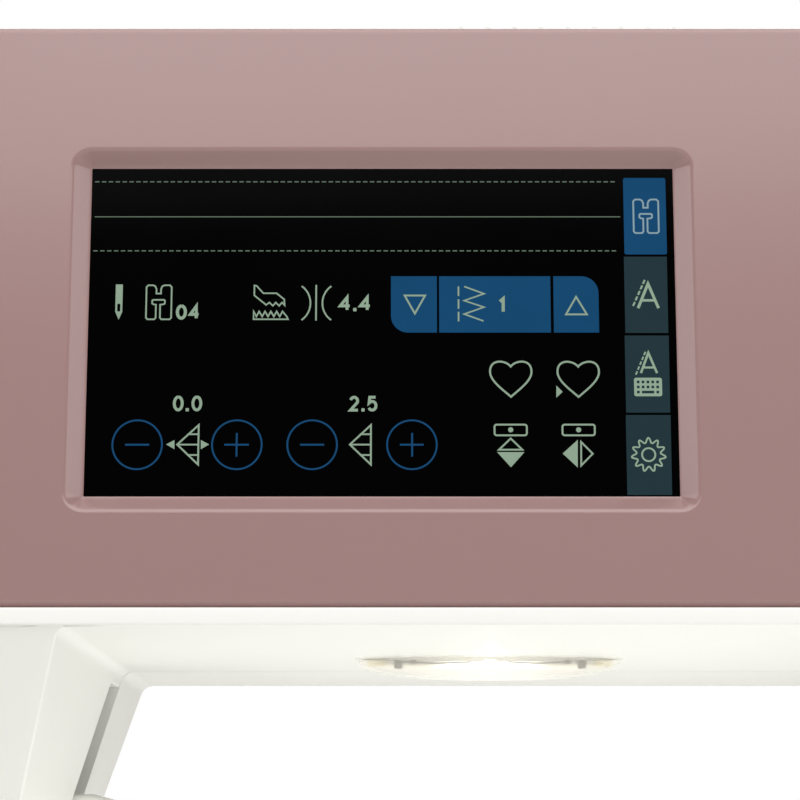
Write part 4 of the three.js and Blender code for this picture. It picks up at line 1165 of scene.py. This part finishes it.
def lid_details():
    grip = Build()
    for x in evenly(74, 4.5, 9):
        sweep(grip, [lid_at(x, t, 0.1) for t in (0.06, 0.09, 0.13, 0.18, 0.23, 0.27)], 0.7, 12)
    grip.piece("lid_grip", WHITE, body="lid", angle=60)
    outline = [lid_at(-84, t) for t in (0.4, 0.6, 0.8, 1.0)] + [lid_at(x, 1.0) for x in (-40, 90, 220, 264)]
    outline += [lid_at(264, t) for t in (0.8, 0.6, 0.4)] + [lid_at(x, 0.4) for x in (220, 90, -40, -84)]
    border = Build()
    sweep(border, outline, 0.35, 8)
    border.piece("lid_border", WHITE, body="lid", angle=60)
    path = Sketch("lid_thread_path", ROSE_PRINT, lambda x, y: lid_at(x, y, 0.12), "lid")
    for x in (-92.5, -76.25):
        path.line([(x, 0.12), (x, 0.2), (x, 0.28), (x, 0.36)], 0.5)
    path.finish()


def deck_details():
    marks = Sketch("deck_thread_path", PRINT, plane("up", DECK_TOP + 0.06))
    marks.dashes((40, -26), (-44, -26), 3.0, 2.0, 0.5)
    marks.fill(arrow_head(-48, -26, 2.4, 180))
    marks.dashes((170, -8), (120, -26), 2.0, 1.6, 0.4)
    marks.fill(arrow_head(173, -6.6, 2.0, 20))
    marks.finish()
    felt = [(3.1, 143.6), (8.8, 143.6), (9.0, 144.2), (9.0, 147.0), (8.8, 147.6), (3.1, 147.6)]
    turned_piece("spool_felt", FELT, felt, (0, 14, 277.5), "x", 48, hollow=True)
    disc = [(5.4, 0), (5.4, 0.6), (4.0, 1.6), (2.2, 2.6), (4.0, 3.6), (5.4, 4.6), (5.4, 5.2), (0.4, 5.4)]
    turned_piece("winding_tension_disc", STEEL, disc, (100, -34, DECK_TOP), "z", 40)
    stop = [(4.2, 0), (4.2, 9.4), (3.6, 10.2), (0.5, 10.4)]
    turned_piece("winder_stop", PALE_GREY, stop, (203.5, -6, DECK_TOP), "z", 32)
    seat = [(8.9, 6.5), (8.7, 7.1), (4.6, 7.5), (3.2, 8.6), (3.05, 9.2)]
    turned_piece("winder_seat", STEEL, seat, (190, 12, DECK_TOP), "z", 40, body="winder")


# ---------- needle, foot and plate ----------
def needle_details():
    knob = [
        (0.4, 6.2), (2.6, 6.2), (3.3, 6.8, 0.4), (3.3, 12.4, 0.4), (2.7, 13.0), (1.6, 13.05), (1.5, 12.6),
        (0.3, 12.6),
    ]
    spot = (NEEDLE.x, 0, 120.5)
    turned_piece("needle_clamp_knob", TURNED, knob, spot, "x", 96, 20, body="needle_assembly")
    path = [
        (-4, -5.2, 119), (-4, -6.6, 118.4), (-1, -7.4, 117.6), (1.6, -7.2, 117.2), (2, -6.6, 116.6),
        (0, -6.2, 116.2),
    ]
    wire = Build()
    sweep(wire, [(NEEDLE.x + x, y, z) for x, y, z in path], 0.4, 12)
    wire.piece("needle_thread_guide", STEEL, body="needle_assembly")


def foot_details():
    knob = [(0.4, -13.0), (2.6, -13.0), (3.3, -12.4, 0.4), (3.3, -7.2, 0.4), (2.7, -6.6), (0.4, -6.5)]
    turned_piece("foot_screw_knob", TURNED, knob, (NEEDLE.x, 11, 92), "x", 96, 20, body="presser")
    coil = []
    for i in range(16 * 7 + 1):
        a = 2 * math.pi * i / 16
        coil.append((NEEDLE.x + 4.2 * math.cos(a), 11 + 4.2 * math.sin(a), 101 + 0.27 * i))
    spring = Build()
    sweep(spring, coil, 0.45, 8)
    spring.piece("presser_spring", STEEL, body="presser")
    lip = [(3.05, 2.1), (3.3, 2.45), (6.5, 2.45), (6.9, 2.1)]
    turned_piece("foot_ring_edge", CLEAR, lip, (NEEDLE.x, 0, 73.6), "z", 48, hollow=True, body="presser")


def plate_details():
    on_top = plane("up", BED_TOP + 0.04)
    lines = Sketch("needle_plate_lines", PRINT, on_top)
    for x in (-57.5, -54.5, -28.5, -25.5, -22.5):
        lines.line([(x, 3), (x, 27)], 0.25)
    for x in (-57.5, -22.5):
        lines.line([(x - 1.4, 0), (x + 1.4, 0)], 0.25)
    lines.finish()
    screws = Build()
    for x in (-56, -24):
        screw(screws, x, -4.4, BED_TOP - 0.3, 2.2, "up", 0.5)
    screws.piece("needle_plate_screws", STEEL)
    mark = Sketch("cover_mark", PRINT, on_top, "cover_plate")
    mark.fill(arrow_head(NEEDLE.x, -25.5, 1.6, -90))
    mark.line([(NEEDLE.x - 3, -22.2), (NEEDLE.x + 3, -22.2)], 0.4)
    mark.finish()
    ring = Sketch("bobbin_ring", BOBBIN_INK, plane("up", 66.15))
    ring.ring(NEEDLE.x, -19, 13.6, 0.5, 64)
    ring.finish()
    teeth = Build()
    for x in (-47.5, -32.5):
        for y in evenly(4.0, 2.1, 8):
            sweep(teeth, [(x - 1.7, y, 70.6), (x + 1.7, y, 70.6)], 0.35, 6)
    teeth.piece("feed_teeth", STEEL, body="feed")


# ---------- embroidery unit and hoop ----------
def unit_details():
    tufts = [(x, x + 1.6, y, y + 1.5) for y in (70.2, 88.3) for x in evenly(-257, 2.02, 84)]
    blocks("unit_slot_bristles", BRISTLE, tufts, 0.3, 68.6, 71.6, "up", 0.3, 2, angle=60)
    slot = (-259.2, -85.8, 68.8, 91.2)
    band("unit_slot_frame", PALE_GREY, slot, 0.8, 1.0, BED_TOP - 0.1, BED_TOP + 0.35, "up")
    pad("unit_release_button", PALE_GREY, (-20, 14, 24, 40), 3, 78, 79.4, "front", 0.8)
    ridges = [(-16, 10, z, z + 1.0) for z in evenly(27, 2.4, 5)]
    blocks("unit_release_ridges", PALE_GREY, ridges, 0.4, 79.3, 79.8, "front", 0.3, 3, angle=60)
    marks = Sketch("unit_guide_marks", PRINT, plane("up", BED_TOP + 0.05))
    for i in range(7):
        x = -250 + 25 * i
        marks.line([(x, 95), (x, 98 if i % 2 else 100)], 0.4)
    marks.finish()


def carriage_details():
    low, high = span("carriage_arm")
    ridges = [(low.x + 6, high.x - 6, y, y + 3) for y in (-134, 131)]
    blocks("carriage_ridges", WHITE, ridges, 1.2, high.z - 0.1, high.z + 0.6, "up", 0.5, 4,
           body="carriage", angle=60)
    marks = Sketch("carriage_scale", PRINT, plane("up", high.z + 0.05), "carriage")
    for i in range(21):
        y = -100 + 10 * i
        marks.line([(high.x - (9 if i % 5 else 12), y), (high.x - 5, y)], 0.35)
    marks.finish()
    inlay = (low.x + 14, low.x + 34, -118, 118)
    pad("carriage_inlay", PALE_GREY, inlay, 9, high.z - 0.1, high.z + 0.5, "up", 0.5, body="carriage")


def hoop_latches():
    more = {"body": "hoop_carrier", "angle": 60}
    latches = [(-143.5, -135, y, y + 12) for y in (-22, 10)]
    blocks("hoop_latches", PALE_GREY, latches, 1.5, 96.9, 99.4, "up", 0.8, 4, **more)
    ridges = [(-142.4, -136.2, y, y + 1.1) for y in (-20, -17, -14, 12, 15, 18)]
    blocks("hoop_latch_ridges", PALE_GREY, ridges, 0.4, 99.3, 99.9, "up", 0.3, 3, **more)


def hoop_details():
    marks = Sketch("hoop_scale", HOOP_INK, plane("up", 84.05), "inner_ring")
    for i in range(-8, 9):
        reach = 81.2 if i % 4 else 82.8
        for side in (-1, 1):
            marks.line([(NEEDLE.x + side * 79.7, 10 * i), (NEEDLE.x + side * reach, 10 * i)], 0.4)
    for i in range(-5, 6):
        x, reach = NEEDLE.x + 10 * i, 108.6 if i % 5 else 109.6
        for side in (-1, 1):
            marks.line([(x, side * 106.7), (x, side * reach)], 0.4)
    marks.finish()
    wide, long = 78.6, 78.6 + 27
    crest = rounded(NEEDLE.x - wide, NEEDLE.x + wide, -long, long, 25.6, 10)
    root = rounded(NEEDLE.x - wide - 0.6, NEEDLE.x + wide + 0.6, -long - 0.6, long + 0.6, 26.2, 10)
    ribs = Build()
    for z in evenly(75.0, 1.2, 7):
        rows = ((root, z), (crest, z + 0.25), (root, z + 0.5))
        ribs.strip([[(x, y, h) for x, y in loop] for loop, h in rows])
    ribs.piece("hoop_inner_ribs", GREY, body="inner_ring", angle=40)


def hoop_clamp():
    """The hoop's screw, with its thread and fluted head."""
    profile = [(0.4, 0)]
    for i in range(33):
        profile += [(1.75, 0.1 + 0.8 * i), (2.0, 0.5 + 0.8 * i)]
    profile += [(2.0, 26.5), (3.6, 26.6), (4.9, 27.2), (5.38, 28.2, 0.5), (5.38, 35.6, 0.5), (4.9, 36.8)]
    profile += [(3.6, 37.6), (2.2, 37.4), (0.3, 37.3)]
    centre = middle("hoop_screw")
    spot = (span("hoop_screw")[0].x, centre.y, centre.z)
    more = {"body": "clamp_screw", "slot": "steel"}
    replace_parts(turned_piece("hoop_clamp_screw", TURNED, profile, spot, "x", 120, 24, **more), "hoop_screw")


DETAILS = (
    key_marks, key_collars, speed_details, status_lamp, handwheel, data_port, power_corner, back_side,
    underside, lid_details, deck_details, needle_details, foot_details, plate_details, unit_details,
    carriage_details, hoop_latches, hoop_details, hoop_clamp,
)
for detail in DETAILS:
    detail()


# ---------- stage ----------
def light(name, spot, aim, width, depth, power, color=(1, 1, 1)):
    """A soft box that the camera doesn't see. Its lengths are metres."""
    data = bpy.data.lights.new(name, "AREA")
    data.shape = "RECTANGLE"
    data.size = width
    data.size_y = depth
    data.energy = power
    data.color = color
    lamp = bpy.data.objects.new(name, data)
    lamp.location = spot
    lamp.rotation_euler = (Vector(aim) - Vector(spot)).to_track_quat("-Z", "Y").to_euler()
    lamp.visible_camera = False
    show(lamp)


def studio_world():
    """White behind the machine, and dimmer where it lights the machine."""
    world = bpy.data.worlds.new("studio")
    world.use_nodes = True
    tree = world.node_tree
    tree.nodes["Background"].inputs["Color"].default_value = (1, 1, 1, 1)
    seen = tree.nodes.new("ShaderNodeLightPath").outputs["Is Camera Ray"]
    strength = tree.nodes.new("ShaderNodeMapRange")
    tree.links.new(seen, strength.inputs["Value"])
    strength.inputs["To Min"].default_value = 0.5
    strength.inputs["To Max"].default_value = 1.0
    tree.links.new(strength.outputs["Result"], tree.nodes["Background"].inputs["Strength"])
    bpy.context.scene.world = world


def stage():
    studio_world()
    bpy.context.scene.view_settings.view_transform = "Standard"
    mesh = bpy.data.meshes.new("floor")
    mesh.from_pydata([(-8, -8, 0), (8, -8, 0), (8, 8, 0), (-8, 8, 0)], [], [(0, 1, 2, 3)])
    floor = bpy.data.objects.new("floor", mesh)
    mesh.materials.append(plastic("floor", (0.82, 0.82, 0.81, 1), 0.6, grain=0))
    show(floor)
    light("front_softbox", (0.2, -1.45, 1.3), (0.05, 0, 0.22), 1.5, 1.3, 14)
    light("top_softbox", (0, -0.35, 1.7), (0, 0, 0.1), 1.4, 1.4, 11, (1, 0.99, 0.96))
    light("arm_bounce", (0.085, -0.02, 0.09), (0.085, -0.02, 0.2), 0.17, 0.11, 0.056, (1, 0.99, 0.95))
    light("back_fill", (0.1, 1.6, 1.0), (0, 0, 0.15), 1.2, 1.2, 11)
    light("left_fill", (-1.7, -0.5, 0.9), (0, 0, 0.15), 1.0, 1.0, 5)
    light("right_fill", (1.8, -0.4, 0.8), (0, 0, 0.15), 1.0, 1.0, 5)


stage()
